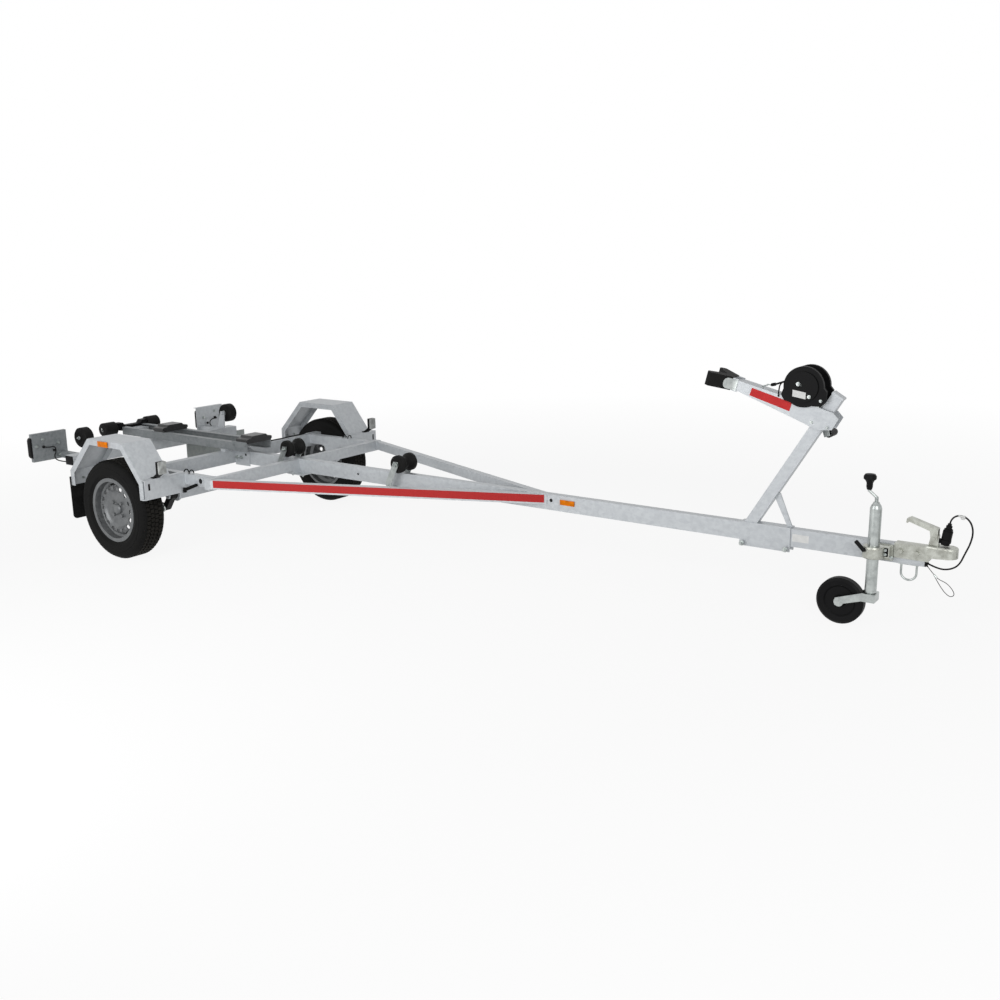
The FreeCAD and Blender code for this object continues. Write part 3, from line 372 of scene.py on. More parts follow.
def bolt_group():
    """Geometry Nodes: a washer, a hexagon nut and the bolt's end on every spot."""
    group, given, keys = new_group("bolt_on_each_spot", Corners="Float")
    parts = group.nodes.new("GeometryNodeJoinGeometry")
    # radius as a share of the nut's corners, sides, and in metres the depth and the middle:
    # the washer, the nut, then the bolt's end standing out of it
    for share, sides, depth, middle in ((0.62, 20, 0.0016, 0.0008), (0.5, 6, 0.0068, 0.005),
                                        (0.27, 12, 0.0045, 0.01)):
        radius = node(group, "ShaderNodeMath", {0: given["Corners"]}, {1: share},
                      operation="MULTIPLY")
        disc = node(group, "GeometryNodeMeshCylinder", {"Radius": radius.outputs[0]},
                    {"Vertices": sides, "Depth": depth})
        put = node(group, "GeometryNodeTransform", {"Geometry": disc.outputs["Mesh"]},
                   {"Translation": (0, 0, middle)})
        group.links.new(put.outputs[0], parts.inputs[0])
    facing = node(group, "GeometryNodeInputNamedAttribute", values={"Name": "facing"},
                  data_type="FLOAT_VECTOR")
    size = node(group, "GeometryNodeInputNamedAttribute", values={"Name": "size"})
    turn = node(group, "FunctionNodeAlignRotationToVector", {"Vector": facing.outputs[0]},
                axis="Z")
    spread = node(group, "GeometryNodeInstanceOnPoints",
                  {"Points": given["Spots"], "Instance": parts.outputs[0],
                   "Rotation": turn.outputs[0], "Scale": size.outputs[0]})
    end_group(group, given, spread)
    return group, keys


def grown_mesh(name, spots, fields, group, settings):
    """Runs a node group on spots that carry fields, and keeps the result as a plain mesh."""
    seeds = bpy.data.meshes.new(name + "_spots")
    seeds.from_pydata(spots, [], [])
    for label, kind, key, values in fields:
        field = seeds.attributes.new(label, kind, "POINT")
        for entry, value in zip(field.data, values):
            setattr(entry, key, value)
    carrier = new_object(name + "_spots", seeds)
    modifier = carrier.modifiers.new("maker", "NODES")
    modifier.node_group = group
    for key, value in settings.items():
        modifier[key] = value
    bpy.context.view_layer.update()
    ready = carrier.evaluated_get(bpy.context.evaluated_depsgraph_get())
    mesh = bpy.data.meshes.new_from_object(ready)
    mesh.name = name
    carrier.modifiers.remove(modifier)
    bpy.data.objects.remove(carrier)
    return mesh


bolt_nodes, (corners_key, finish_key) = bolt_group()
facings = [level.to_3x3() @ Vector(bolt[3:6]) for bolt in BOLTS]
sizes = [bolt[6] / DRAWN_FLATS for bolt in BOLTS]
bolts = grown_mesh("frame_bolts", [tuple(level @ (Vector(bolt[:3]) / 1000)) for bolt in BOLTS],
                   (("facing", "FLOAT_VECTOR", "vector", facings),
                    ("size", "FLOAT", "value", sizes)),
                   bolt_nodes, {corners_key: DRAWN_CORNERS, finish_key: plated})
ride_piece("frame_bolts", bolts, "frame")

# ---- Rollers, pads and rubber parts ----
# Rollers, bow stop and flaps are solid moulded rubber; covers, pads and lamp housings are
# moulded too, and held by pins or bolts. The suspension's arms are steel, painted black.


def grained_skin(name, pale, dark, roughness, grain_scale, depth):
    """Moulded, painted or woven skin: one colour with dust in patches, dull scuffs and a
    fine grain, given as grains to the metre and their depth in metres."""
    material, tree, surface, place = new_material(name)
    # dust in patches about 45 mm across
    dust = node(tree, "ShaderNodeTexNoise", {"Vector": place},
                {"Scale": 22.0, "Detail": 6.0, "Roughness": 0.65})
    tone = node(tree, "ShaderNodeValToRGB", {"Fac": dust.outputs["Fac"]},
                stops=((0.40, dark), (0.75, pale)))
    tree.links.new(tone.outputs["Color"], surface.inputs["Base Color"])
    scuff = node(tree, "ShaderNodeMapRange", {"Value": dust.outputs["Fac"]},
                 {"To Min": roughness - 0.1, "To Max": roughness + 0.12})
    tree.links.new(scuff.outputs["Result"], surface.inputs["Roughness"])
    grain = node(tree, "ShaderNodeTexNoise", {"Vector": place},
                 {"Scale": grain_scale, "Detail": 2.0})
    bump = node(tree, "ShaderNodeBump", {"Height": grain.outputs["Fac"]},
                {"Strength": 0.3, "Distance": depth})
    tree.links.new(bump.outputs["Normal"], surface.inputs["Normal"])
    surface.inputs["Specular IOR Level"].default_value = 0.12
    return material


# moulded rubber: a dusty charcoal with hardly a highlight
rubber = grained_skin("black_moulded_rubber", "1b1b1a", "0d0d0d", 0.62, 600.0, 0.0004)
dress(rubber, "right_side_roller", "left_side_roller", "right_tail_roller",
      "left_tail_roller", "rear_keel_roller", "front_keel_roller", "bow_stop",
      "right_mudflap", "left_mudflap")
# moulded plastic: blacker than the rubber beside it, with a soft sheen
plastic = grained_skin("black_moulded_plastic", "0e0e0f", "070708", 0.5, 900.0, 0.0002)
dress(plastic, "rocker_cradle", "winch_cover", "cable_outlet", "plug", "plug_holder",
      "jockey_wheel", "right_marker_lamp", "left_marker_lamp")
# the keel pads are polished by the hulls that slide over them, and catch the light
pad_rubber = grained_skin("polished_pad_rubber", "1b1b1c", "0e0e0f", 0.34, 500.0, 0.0003)
pad_rubber.node_tree.nodes["Principled BSDF"].inputs["Specular IOR Level"].default_value = 0.5
dress(pad_rubber, "front_keel_pad", "rear_keel_pad")
# brushed paint on steel: a little paler than the mouldings, with a low sheen
steel_black = grained_skin("black_painted_steel", "252627", "161718", 0.45, 400.0, 0.0002)
dress(steel_black, "right_axle_arm", "left_axle_arm")

SIDES = (("right", -1), ("left", 1))    # each side's name and the sign of Y there
SIDE_ROLLER_X, SIDE_ROLLER_Z = -727, 579
SIDE_ROLLER_OUT = {-1: 555, 1: 588}  # mm from the trailer's middle to the roller's
SIDE_ROLLER_FACE = 32.8  # mm from the roller's middle to its face
TAIL_ROLLER_X, TAIL_ROLLER_Z = -1030, 545
TAIL_ROLLER_OUT = 168
TAIL_ROLLER_FACE = 47.8
for side, s in SIDES:
    # two raised rings on each face of a side roller, and three round its tread
    bm = bmesh.new()
    for face in (-1, 1):
        for radius in (41, 50):
            lathe(bm, ((0, radius - 1.8), (face * 1.6, radius - 0.8),
                       (face * 1.6, radius + 0.8), (0, radius + 1.8)),
                  (SIDE_ROLLER_X, s * SIDE_ROLLER_OUT[s] + face * SIDE_ROLLER_FACE,
                   SIDE_ROLLER_Z),
                  (0, 1, 0), 72)
    for rib in (-14, 0, 14):
        lathe(bm, ((rib - 2, 60.6), (rib - 1, 61.6), (rib + 1, 61.6), (rib + 2, 60.6)),
              (SIDE_ROLLER_X, s * SIDE_ROLLER_OUT[s], SIDE_ROLLER_Z), (0, 1, 0), 96)
    finish_piece(side + "_side_roller_ribs", bm, side + "_side_roller", "black_rubber", rubber)
    # a raised hub on each face of a tail roller
    bm = bmesh.new()
    for face in (-1, 1):
        lathe(bm, ((0, 9), (face * 1.5, 12), (face * 1.5, 27), (0, 30)),
              (TAIL_ROLLER_X, s * TAIL_ROLLER_OUT + face * TAIL_ROLLER_FACE, TAIL_ROLLER_Z),
              (0, 1, 0), 48)
    finish_piece(side + "_tail_roller_hubs", bm, side + "_tail_roller", "black_rubber", rubber)

# washer and split pin at each outer end of the tail rollers' pins
bm = bmesh.new()
for s in (-1, 1):
    lathe(bm, ((0, 8.2), (0, 11), (2, 11), (2, 8.2)),
          (TAIL_ROLLER_X, s * 217.6, TAIL_ROLLER_Z), (0, s, 0), 32)
    hose(bm, [(-1030, s * 221, 538), (-1030, s * 221, 553), (-1033, s * 221, 558),
              (-1028, s * 221, 560)], 1.6, 6)
finish_piece("tail_roller_pins", bm, "tail_rocker", "zinc", plated)
# washers between the side rollers and their stands
bm = bmesh.new()
for s, out in SIDE_ROLLER_OUT.items():
    lathe(bm, ((0, 10.2), (0, 18), (2.5, 18), (2.5, 10.2)),
          (SIDE_ROLLER_X, s * (out - 36.2), SIDE_ROLLER_Z), (0, s, 0), 32)
finish_piece("side_roller_washers", bm, "frame", "zinc", plated)

# ---- Road wheels ----
# Thirteen-inch tubeless tyres on pressed steel wheels, painted silver and bolted to their
# hubs. A mould gives the rubber its tread and ringed walls as it vulcanises.

# vulcanised rubber: the blackest and dullest surface of the trailer
tyre_rubber = grained_skin("tyre_rubber", "131312", "090909", 0.72, 500.0, 0.0004)
# tread that the road has scrubbed: brownish dust makes the blocks paler than the walls
tread_wear = grained_skin("scrubbed_tread_rubber", "282623", "171614", 0.8, 300.0, 0.0006)
# sprayed wheel paint: an even, darker silver with a faint metal sheen
silver = clouded_metal("silver_wheel_paint", "747677", "626466", 0.42, 0.45)
dress(silver, "right_wheel", "left_wheel")


def tread_group():
    """Geometry Nodes: a ring of tread blocks about the Y axis on every spot."""
    group, given, keys = new_group("tread_block_rings", Radius="Float", Blocks="Int",
                                   Size="Vector")
    circle = node(group, "GeometryNodeMeshCircle", {"Vertices": given["Blocks"],
                                                    "Radius": given["Radius"]})
    # each block is turned so that its top faces outward
    place = node(group, "GeometryNodeInputPosition")
    turn = node(group, "FunctionNodeAlignRotationToVector", {"Vector": place.outputs[0]},
                axis="Z")
    block = node(group, "GeometryNodeMeshCube", {"Size": given["Size"]})
    blocks = node(group, "GeometryNodeInstanceOnPoints",
                  {"Points": circle.outputs["Mesh"], "Instance": block.outputs["Mesh"],
                   "Rotation": turn.outputs[0]})
    upright = node(group, "GeometryNodeTransform", {"Geometry": blocks.outputs[0]},
                   {"Rotation": (math.pi / 2, 0, 0)})
    # each row is rolled on a little, so that neighbouring rows aren't in line
    lead = node(group, "GeometryNodeInputNamedAttribute", values={"Name": "lead"})
    roll = node(group, "ShaderNodeCombineXYZ", {"Y": lead.outputs[0]})
    rows = node(group, "GeometryNodeInstanceOnPoints",
                {"Points": given["Spots"], "Instance": upright.outputs[0],
                 "Rotation": roll.outputs[0]})
    end_group(group, given, rows)
    return group, keys


tread_nodes, (radius_key, count_key, size_key, rubber_key) = tread_group()
# metres to the blocks' middles, blocks in a ring, a block's two sides and its height
TREAD = {radius_key: 0.278, count_key: 70, size_key: (0.021, 0.019, 0.0092),
         rubber_key: tread_wear}
# each row's middle in mm out from the trailer's, and how far it is rolled on in radians
TREAD_ROWS = ((796, 0.0), (821, 0.045), (847, 0.02), (872, 0.065))
WHEEL_OUT = 834  # mm from the trailer's middle to the wheel's
# the tyre's section: mm out from the trailer's middle, radius
TYRE_SECTION = (
    (771, 166), (767, 181), (764, 188), (759, 203), (756.5, 216), (757.5, 219), (756, 230),
    (756.6, 238), (758.4, 240), (758, 247), (761, 261), (766, 270), (776, 277),
    (785, 280), (785.1, 275), (786, 275), (810, 275), (834, 276), (858, 275), (882, 275),
    (883, 275), (883.1, 280), (892, 277), (902, 270), (907, 261), (910, 247), (909.6, 240),
    (911.4, 238), (912, 230), (910.5, 219), (911.5, 216), (909.5, 203), (907.4, 201),
    (905, 193), (901, 186), (897, 181), (897, 166), (771, 166))
SHOULDER_RIBS = 72  # pairs of short bars round both shoulders
# one rib's ends on the outer and on the inner shoulder: mm out, radius
RIB_ENDS = ((883.5, 279.9, 901, 270.8), (784.5, 279.9, 767, 270.8))
RIB_SLANT = 0.012  # radians from one end to the other
RIM_EDGE = 166  # radius of the rim's outer edge
for side, s in SIDES:
    bm = bmesh.new()
    lathe(bm, [(out - WHEEL_OUT, radius) for out, radius in TYRE_SECTION],
          (0, s * WHEEL_OUT, AXLE_HEIGHT), (0, s, 0), 160)
    for i in range(SHOULDER_RIBS):
        turn = math.tau * i / SHOULDER_RIBS
        for out0, r0, out1, r1 in RIB_ENDS:
            hose(bm, [(r * math.cos(t), s * out, AXLE_HEIGHT + r * math.sin(t))
                      for out, r, t in ((out0, r0, turn), (out1, r1, turn + RIB_SLANT))],
                 1.7, 5)
    bmesh.ops.remove_doubles(bm, verts=bm.verts, dist=0.01)
    carcass = finish_piece(side + "_tyre_carcass", bm, side + "_road_wheel", "tyre",
                           tyre_rubber)
    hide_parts(side + "_tyre")
    tread = grown_mesh(side + "_tread_blocks", [(0, s * out / 1000, 0) for out, _ in TREAD_ROWS],
                       [("lead", "FLOAT", "value", [lead for _, lead in TREAD_ROWS])],
                       tread_nodes, TREAD)
    tread.transform(level @ Matrix.Translation((0, 0, AXLE_HEIGHT / 1000)))
    ride_piece(side + "_tread_blocks", tread, side + "_road_wheel")
    # valve with its cap, through the rim, and a clip-on weight in seven links
    bm = bmesh.new()
    lathe(bm, ((0, 8), (4, 8), (8, 5), (26, 4.2), (26, 4.9), (36, 4.9), (38, 3), (38, 0)),
          (0, s * 866, AXLE_HEIGHT + 150), (0.12, s, -0.1), 20)
    for i in range(7):
        turn = math.radians(200 + i * 3)
        x, z = RIM_EDGE * math.cos(turn), AXLE_HEIGHT + RIM_EDGE * math.sin(turn)
        brick(bm, (x - 4, s * 894 - 2.5, z - 5), (x + 4, s * 894 + 2.5, z + 5), 1)
    finish_piece(side + "_tyre_valve", bm, side + "_road_wheel", "black_rubber", rubber)
    # rolled rim of the hub's cap
    bm = bmesh.new()
    lathe(bm, ((865.5, 29), (873.5, 29.4), (874.5, 28), (873, 27)), (0, 0, AXLE_HEIGHT),
          (0, s, 0), 48)
    finish_piece(side + "_hub_ring", bm, side + "_road_wheel", "wheel_silver", plated)

# ---- Reflectors and marker lamps ----
# Amber reflectors of moulded acrylic, pressed on the drawbar's sides and the fenders' lips.
# Marker lamps stand on the front brackets: a clear lens snapped over a black body.


def lens(name, colour, pitch):
    """Moulded acrylic lens: one deep colour, with fine flutes every pitch millimetres."""
    material, tree, surface, place = new_material(name)
    tint = node(tree, "ShaderNodeTexNoise", {"Vector": place}, {"Scale": 40.0, "Detail": 3.0})
    deep = "".join(f"{int(int(colour[i:i + 2], 16) * 0.8):02x}" for i in (0, 2, 4))
    tone = node(tree, "ShaderNodeValToRGB", {"Fac": tint.outputs["Fac"]},
                stops=((0.35, deep), (0.65, colour)))
    tree.links.new(tone.outputs["Color"], surface.inputs["Base Color"])
    # at a scale of 1 the wave repeats every tau / 20 metres
    flutes = node(tree, "ShaderNodeTexWave", {"Vector": place},
                  {"Scale": math.tau / 20 * 1000 / pitch}, bands_direction="Y")
    bump = node(tree, "ShaderNodeBump", {"Height": flutes.outputs["Fac"]},
                {"Strength": 0.5, "Distance": 0.0006})
    tree.links.new(bump.outputs["Normal"], surface.inputs["Normal"])
    surface.inputs["Roughness"].default_value = 0.3
    surface.inputs["Specular IOR Level"].default_value = 0.1
    return material


def cut_plate(y0, y1, z0, z1, cut_y, cut_z):
    """Outline of a plate whose corners are cut off, out and up in mm."""
    return ((y0, z0 + cut_z), (y0 + cut_y, z0), (y1 - cut_y, z0), (y1, z0 + cut_z),
            (y1, z1 - cut_z), (y1 - cut_y, z1), (y0 + cut_y, z1), (y0, z1 - cut_z))


# coloured acrylic over a foil: a full orange that the flutes keep from flashing
amber = lens("amber_reflector_plastic", "ea7e00", 4.935)
# clear acrylic over a white body: a pale grey, softly striped
clear_lens = lens("clear_lens_plastic", "b4b7b5", 5.922)
LENS_THICK = 5.5
for side, s in SIDES:
    bm = bmesh.new()
    for x0, x1, z0, z1, out in ((2403, 2486, 444, 470, 20.2), (-47, 39, 645, 676, 921.5)):
        brick(bm, (x0, s * out, z0), (x1, s * (out + LENS_THICK), z1), 2)
    finish_piece(side + "_side_reflectors", bm, "frame", "lamp_lens", amber)
    # pale lens over the front half of the marker lamp
    bm = bmesh.new()
    slab(bm, [(389, s * y, z) for y, z in cut_plate(821.4, 870.6, 523.4, 592.6, 2.6, 3.6)],
         (11.6, 0, 0), 3)
    finish_piece(side + "_marker_lens", bm, "frame", "lamp_lens", clear_lens)

# ---- Tail lamps ----
# Moulded black housings bolted to their plates, each with a lens of three colours welded
# on and three screws below. Rubber glands bring the wires through the plate behind.

# deep red acrylic for the tail and brake light: dark until it is lit
red_lens = lens("red_lens_plastic", "a51218", 5.922)
# orange acrylic for the indicator: deeper and flatter than the reflectors
amber_lens = lens("amber_lens_plastic", "d4731a", 5.922)
PLATE_FACE = -981.3  # rear face of the lamp plates
HOUSING = ((530, 462), (536, 451), (547, 445), (746, 445), (757, 451), (764, 464),
           (764, 561), (757, 574), (746, 580), (547, 580), (536, 574), (530, 563))
# each window's inner and outer edge, and its place in the list of materials
WINDOWS = ((538, 604, 3), (606, 678, 1), (680, 756, 2))
for side, s in SIDES:
    bm = bmesh.new()
    slab(bm, [(PLATE_FACE, s * y, z) for y, z in HOUSING], (-36, 0, 0), 8)
    for y0, y1, colour in WINDOWS:
        slab(bm, [(-1014, s * y, z) for y, z in cut_plate(y0, y1, 452, 573, 6, 6)],
             (-10.8, 0, 0), 3, colour)
    for y in (550, 642, 744):
        lathe(bm, ((0, 4.5), (-1.2, 4.5), (-1.2, 1.6), (-0.4, 1.2)), (-1024.4, s * y, 456),
              (1, 0, 0), 16)
    lamp = finish_piece(side + "_tail_lamp_unit", bm, "frame", "lamp_lens", plastic, red_lens,
                        amber_lens, clear_lens)
    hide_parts(side + "_tail_lamp")
    # a stepped gland where the lead leaves, and a smaller blind one beside it
    bm = bmesh.new()
    lathe(bm, ((0, 0), (0, 9), (6, 9), (8, 6), (14, 4.5), (14, 0)), (-979, s * 679, 513),
          (1, 0, 0), 20)
    lathe(bm, ((0, 0), (0, 8), (5, 8), (7, 5), (12, 4)), (-979, s * 610, 482), (1, 0, 0), 20)
    finish_piece(side + "_lamp_glands", bm, "frame", "black_rubber", rubber)

# ---- Mud flaps ----
# Black rubber flaps, moulded with ribs across both faces and bolted to the fenders' rear
# feet under a galvanised strip.
FLAP_IN, FLAP_OUT = 775, 915
for side, s in SIDES:
    bm = bmesh.new()
    brick(bm, (-351.8, s * 842 - 73, 412), (-349.2, s * 842 + 73, 434), 1)
    finish_piece(side + "_flap_strip", bm, "frame", "galvanised", galvanised)
    bm = bmesh.new()
    for z in (215, 235, 255, 275, 295):
        for face, rise in ((-349.2, -1.6), (-345.4, 1.6)):
            brick(bm, (face, s * FLAP_IN, z), (face + rise, s * FLAP_OUT, z + 6), 0.7)
    finish_piece(side + "_flap_ribs", bm, "frame", "black_rubber", rubber)

# ---- Reflective tape ----
# Red retro-reflective tape, stuck along the outer side of both frame arms: a film of
# honeycomb cells sealed over tiny prisms.

# film over prisms: a flat, strong red, broken up by slightly darker cell walls
tape, tree, surface, place = new_material("red_reflective_tape")
# cells about 5.5 mm across, 180 to the metre
cells = node(tree, "ShaderNodeTexVoronoi", {"Vector": place}, {"Scale": 180.0},
             feature="DISTANCE_TO_EDGE")
tone = node(tree, "ShaderNodeValToRGB", {"Fac": cells.outputs["Distance"]},
            stops=((0.02, "981a1a"), (0.12, "b02323")))
tree.links.new(tone.outputs["Color"], surface.inputs["Base Color"])
bump = node(tree, "ShaderNodeBump", {"Height": cells.outputs["Distance"]},
            {"Strength": 0.2, "Distance": 0.0002})
tree.links.new(bump.outputs["Normal"], surface.inputs["Normal"])
surface.inputs["Roughness"].default_value = 0.45
surface.inputs["Specular IOR Level"].default_value = 0.25
ARM_NOSE_X, ARM_NOSE_OUT = 2326, 20.9  # where an arm's outer side meets the drawbar
ARM_SPREAD = 0.3913  # mm out for each mm back from there
TAPE_THICK = 0.25
bm = bmesh.new()
for s in (-1, 1):
    (xa, ya), (xb, yb) = [(x, s * (ARM_NOSE_OUT + (ARM_NOSE_X - x) * ARM_SPREAD))
                          for x in (612, 2312)]
    slab(bm, [(xa, ya, 444), (xb, yb, 444), (xb, yb, 484), (xa, ya, 484)],
         (0.1, s * TAPE_THICK, 0))
finish_piece("arm_tape", bm, "frame", "lamp_lens", tape)

# ---- Labels ----
# Vinyl labels with no print, stuck on flat: a red one along the winch's arm, a white one on
# its cover and one on the drawbar.
LABEL_THICK = 0.3

# vinyl film: an even, clean red with hardly any relief
vinyl_red = grained_skin("bare_red_vinyl", "d23a3a", "bd2c2d", 0.42, 900.0, 0.0001)
bm = bmesh.new()
slab(bm, [(3384, -33.05, 1092), (3564, -33.05, 1040), (3554, -33.05, 1003),
          (3373, -33.05, 1059)], (0, -LABEL_THICK, 0))
finish_piece("arm_label", bm, "frame", "plate_blank", vinyl_red)
# the same film in white: the brightest spots on the black cover and the grey bar
vinyl_white = grained_skin("bare_white_vinyl", "e4e4e2", "d3d4d3", 0.45, 900.0, 0.0001)
bm = bmesh.new()
slab(bm, [(3572, -56.05, 1099), (3629, -56.05, 1090), (3629, -56.05, 1062),
          (3572, -56.05, 1071)], (0, -LABEL_THICK, 0))
brick(bm, (3590, -20.05, 434), (3663, -20.05 - LABEL_THICK, 467))
finish_piece("blank_labels", bm, "frame", "plate_blank", vinyl_white)

# ---- Rope, wiring loom and sleeves ----
# The winch's braided rope runs down the arm to its hook, with a splice and a short tail.
# Black loom and corrugated sleeves carry the lamps' wiring, clipped along the frame.

# braided polyester: dull black, broken up by its strands
rope = grained_skin("black_braided_rope", "1b1b1b", "0c0c0c", 0.75, 420.0, 0.0006)
bm = bmesh.new()
hose(bm, [(3536, 0, 1132), (3508, 0, 1121), (3480, 0, 1111), (3456, 0, 1105)], 4.2, 10)
hose(bm, [(3476, 0, 1110), (3468, 0, 1108), (3458, 0, 1106)], 7, 10)
hose(bm, [(3526, -18, 1128), (3514, -32, 1121), (3508, -36, 1110), (3505, -36.4, 1088),
          (3504, -36.2, 1062)], 3)
SLEEVE_RIDGES = 12
for s in (-1, 1):
    # two cable loops that stand on the rail
    for x in (332, 376):
        hose(bm, [(x, s * 640 + 16 * math.cos(t), 489 + 19 * math.sin(t))
                  for t in (0, 0.5, 1.0, 1.57, 2.1, 2.6, 3.14)], 3.2)
    # corrugated sleeve outside the rail, with the clip that holds its end
    run = [Vector((330, s * 676, 390)).lerp(Vector((453, s * 672, 438)),
                                            i / (2 * SLEEVE_RIDGES))
           for i in range(2 * SLEEVE_RIDGES + 1)]
    brick(bm, (346, s * 676 - 8, 384), (362, s * 676 + 8, 412), 3)
    for a, b in zip(run[::2], run[1::2]):
        hose(bm, [a, b], 9.5, 10)
    hose(bm, run, 7.5, 10)
# loom laid along the left half of the middle crossmember
hose(bm, [(8, 250, 492), (6, 330, 493), (9, 420, 492.5), (5, 500, 493), (8, 570, 492.5),
          (12, 604, 496)], 3.5)
finish_piece("rope_and_sleeves", bm, "frame", "black_rubber", rope)

# ---- Rope hook, spacer rings and bracket tabs ----
# Bent and turned steel, zinc plated: the eye and hook that hold the rope on the winch's arm,
# rings outside the trailing arms' knees, and the bow stop bracket's bent tabs.
bm = bmesh.new()
hose(bm, [(3447 + 9 * math.cos(t), 9 * math.sin(t), 1105 - 2 * math.cos(t))
          for t in (0, 0.8, 1.6, 2.4, 3.2, 4.0, 4.8, 5.6, 6.28)], 2)
hose(bm, [(3440, 0, 1104), (3428, 0, 1101), (3418, 0, 1097), (3414, 0, 1090)], 3)
brick(bm, (3408, -9, 1089), (3424, 9, 1094.5), 1)
for s in (-1, 1):
    lathe(bm, ((0, 12), (0, 21), (2, 22.5), (8, 22.5), (10, 21), (10, 12)), (182, s * 699, 278),
          (0, s, 0), 32)
# a rounded tab, bent out over the rubber on each side and tipped with the arm's end
TAB_EDGE = ((3316, 33.2, 1079), (3288, 34.2, 1079), (3272, 43.6, 1079), (3263, 49, 1085),
            (3259, 51.5, 1096), (3259, 51.5, 1110), (3263, 49, 1121), (3272, 43.6, 1127),
            (3288, 34.2, 1127), (3316, 33.2, 1127))
TAB_THICK = 2.6
BOW_TIP = 14.2  # degrees, rising rearward
middle = Vector((3290, 0, 1104))
tip = (Matrix.Translation(middle) @ Matrix.Rotation(math.radians(BOW_TIP), 4, "Y")
       @ Matrix.Translation(-middle))
for s in (-1, 1):
    edge = [tip @ Vector((x, s * y, z)) for x, y, z in TAB_EDGE]
    near, far = [[bm.verts.new(p + Vector((0, s * shift, 0))) for p in edge]
                 for shift in (0, TAB_THICK)]
    count = len(edge)
    # both faces in strips, because the tab is bent, then the rim
    for i in range(count // 2 - 1):
        strip = (i, i + 1, count - 2 - i, count - 1 - i)
        bm.faces.new([near[k] for k in strip])
        bm.faces.new([far[k] for k in reversed(strip)])
    for i in range(count):
        j = (i + 1) % count
        bm.faces.new((near[i], far[i], far[j], near[j]))
finish_piece("rope_hook_and_tabs", bm, "frame", "zinc", plated)

# ---- Caps and painted shade ----
# Moulded black caps pushed into the tail crossmember's ends. Thin black discs and sheets
# are painted shade: the shadowed inside of the frame's holes and slots, and the shaded side
# of the jockey clamp's jaw.
bm = bmesh.new()
for s in (-1, 1):
    brick(bm, (-797, s * 649.5, 418), (-723, s * 653, 472), 1.2)
    # painted shade: a thin black sheet in each fender bracket's slot, and black discs in two
    # holes in the drawbar's side
    brick(bm, (345.1, s * 896, 438), (345.5, s * 908, 474), 0.1)
    for x, out, z, radius in ((2349, 20.05, 459, 9), (130, 25.05, 466, 7.5)):
        lathe(bm, ((0, 0), (0, radius), (0.4, radius), (0.4, 0)), (x, s * out, z), (0, s, 0), 24)
# painted shade: a thin black sheet on the jockey clamp's jaw, for the shade on that side
brick(bm, (3984, -67.05, 441), (4011, -67.45, 478), 0.1)
finish_piece("caps_and_painted_shade", bm, "frame", "black_plastic", plastic)

# ---- Grips and jockey screw ----
# Moulded black grips pushed on steel: winch crank, jockey knob and clamp handle. A square
# thread shows between the jockey tube's cap and its knob.
GRIP_RIBS = 9
bm = bmesh.new()
lathe(bm, ((-41, 6), (-41, 14), (-38, 16), (-32, 15.6), (-20, 16.6), (0, 16), (20, 16.6),
           (34, 15.6), (38, 15.6), (41, 13), (41, 0)), (3684, 136, 897), (0, 1, 0), 32)
for i in range(GRIP_RIBS):
    turn = math.tau * i / GRIP_RIBS
    hose(bm, [(3684 + 16.2 * math.cos(turn), 136 + along, 897 + 16.2 * math.sin(turn))
              for along in (-34, 0, 34)], 1, 5)
finish_piece("crank_grip", bm, "winch_drum", "black_plastic", plastic)
bm = bmesh.new()
lathe(bm, ((717, 6), (716, 10), (728, 13), (744, 13), (754, 18), (761, 25.6), (772, 25.6),
           (780, 20.4), (781.8, 8), (782, 0)), (3921, -75, 0), (0, 0, 1), 40)
finish_piece("jockey_knob", bm, "jockey_crank", "black_plastic", plastic)
bm = bmesh.new()
root, end = Vector((3927, -113, 466)), Vector((3891, -113, 502))
lathe(bm, ((-2, 0), (-2, 7.6), (4, 8.6), (26, 8.4), (49, 8.6), (53, 6), (53, 0)), root,
      end - root, 24)
finish_piece("clamp_handle_grip", bm, "frame", "black_plastic", plastic)
bm = bmesh.new()
for z in range(670, 684, 3):
    lathe(bm, ((-1.4, 6.9), (0, 8.2), (1.4, 6.9)), (3953, -75, z), (0, 0, 1), 24)
finish_piece("jockey_thread", bm, "jockey_crank", "zinc", plated)

# ---- Cable and wire ----
# A rubber cable leaves the drawbar's end and loops up to the parked plug. A steel safety
# wire hangs below it, its end turned back and crimped into a loop. Thin leads run from each
# lamp plate's gland down into the crossmember.


def cord_piece(name, route, diameter, material):
    """Round cord: one NURBS line through its route, given level with the chassis in mm."""
    curve = bpy.data.curves.new(name, "CURVE")
    curve.dimensions = "3D"
    spline = curve.splines.new("NURBS")
    spline.points.add(len(route) - 1)
    for point, spot in zip(spline.points, route):
        point.co = (*(level @ (Vector(spot) / 1000)), 1)
    spline.order_u = 3
    spline.use_endpoint_u = True
    spline.resolution_u = 12
    curve.bevel_depth = diameter / 2
    curve.bevel_resolution = 3
    curve.use_fill_caps = True
    curve.materials.append(material)
    return ride_piece(name, curve, "frame")


# rubber cable jacket: black, with a soft highlight that follows its curve
sheath = grained_skin("rubber_cable_sheath", "1e1e1e", "101010", 0.5, 700.0, 0.0002)
CABLE_ROUTE = ((4156, 0, 418.5), (4196, 0, 403), (4240, 0, 408), (4273, 0, 432),
               (4291, 0, 483), (4307, 0, 524), (4315, 0, 570), (4306, 0, 609),
               (4282, 0, 633), (4251, 0, 636), (4228, 0, 617), (4225.27, 0, 597.56))
cable = cord_piece("trailer_cable", CABLE_ROUTE, 0.007, sheath)
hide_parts("electric_cable")
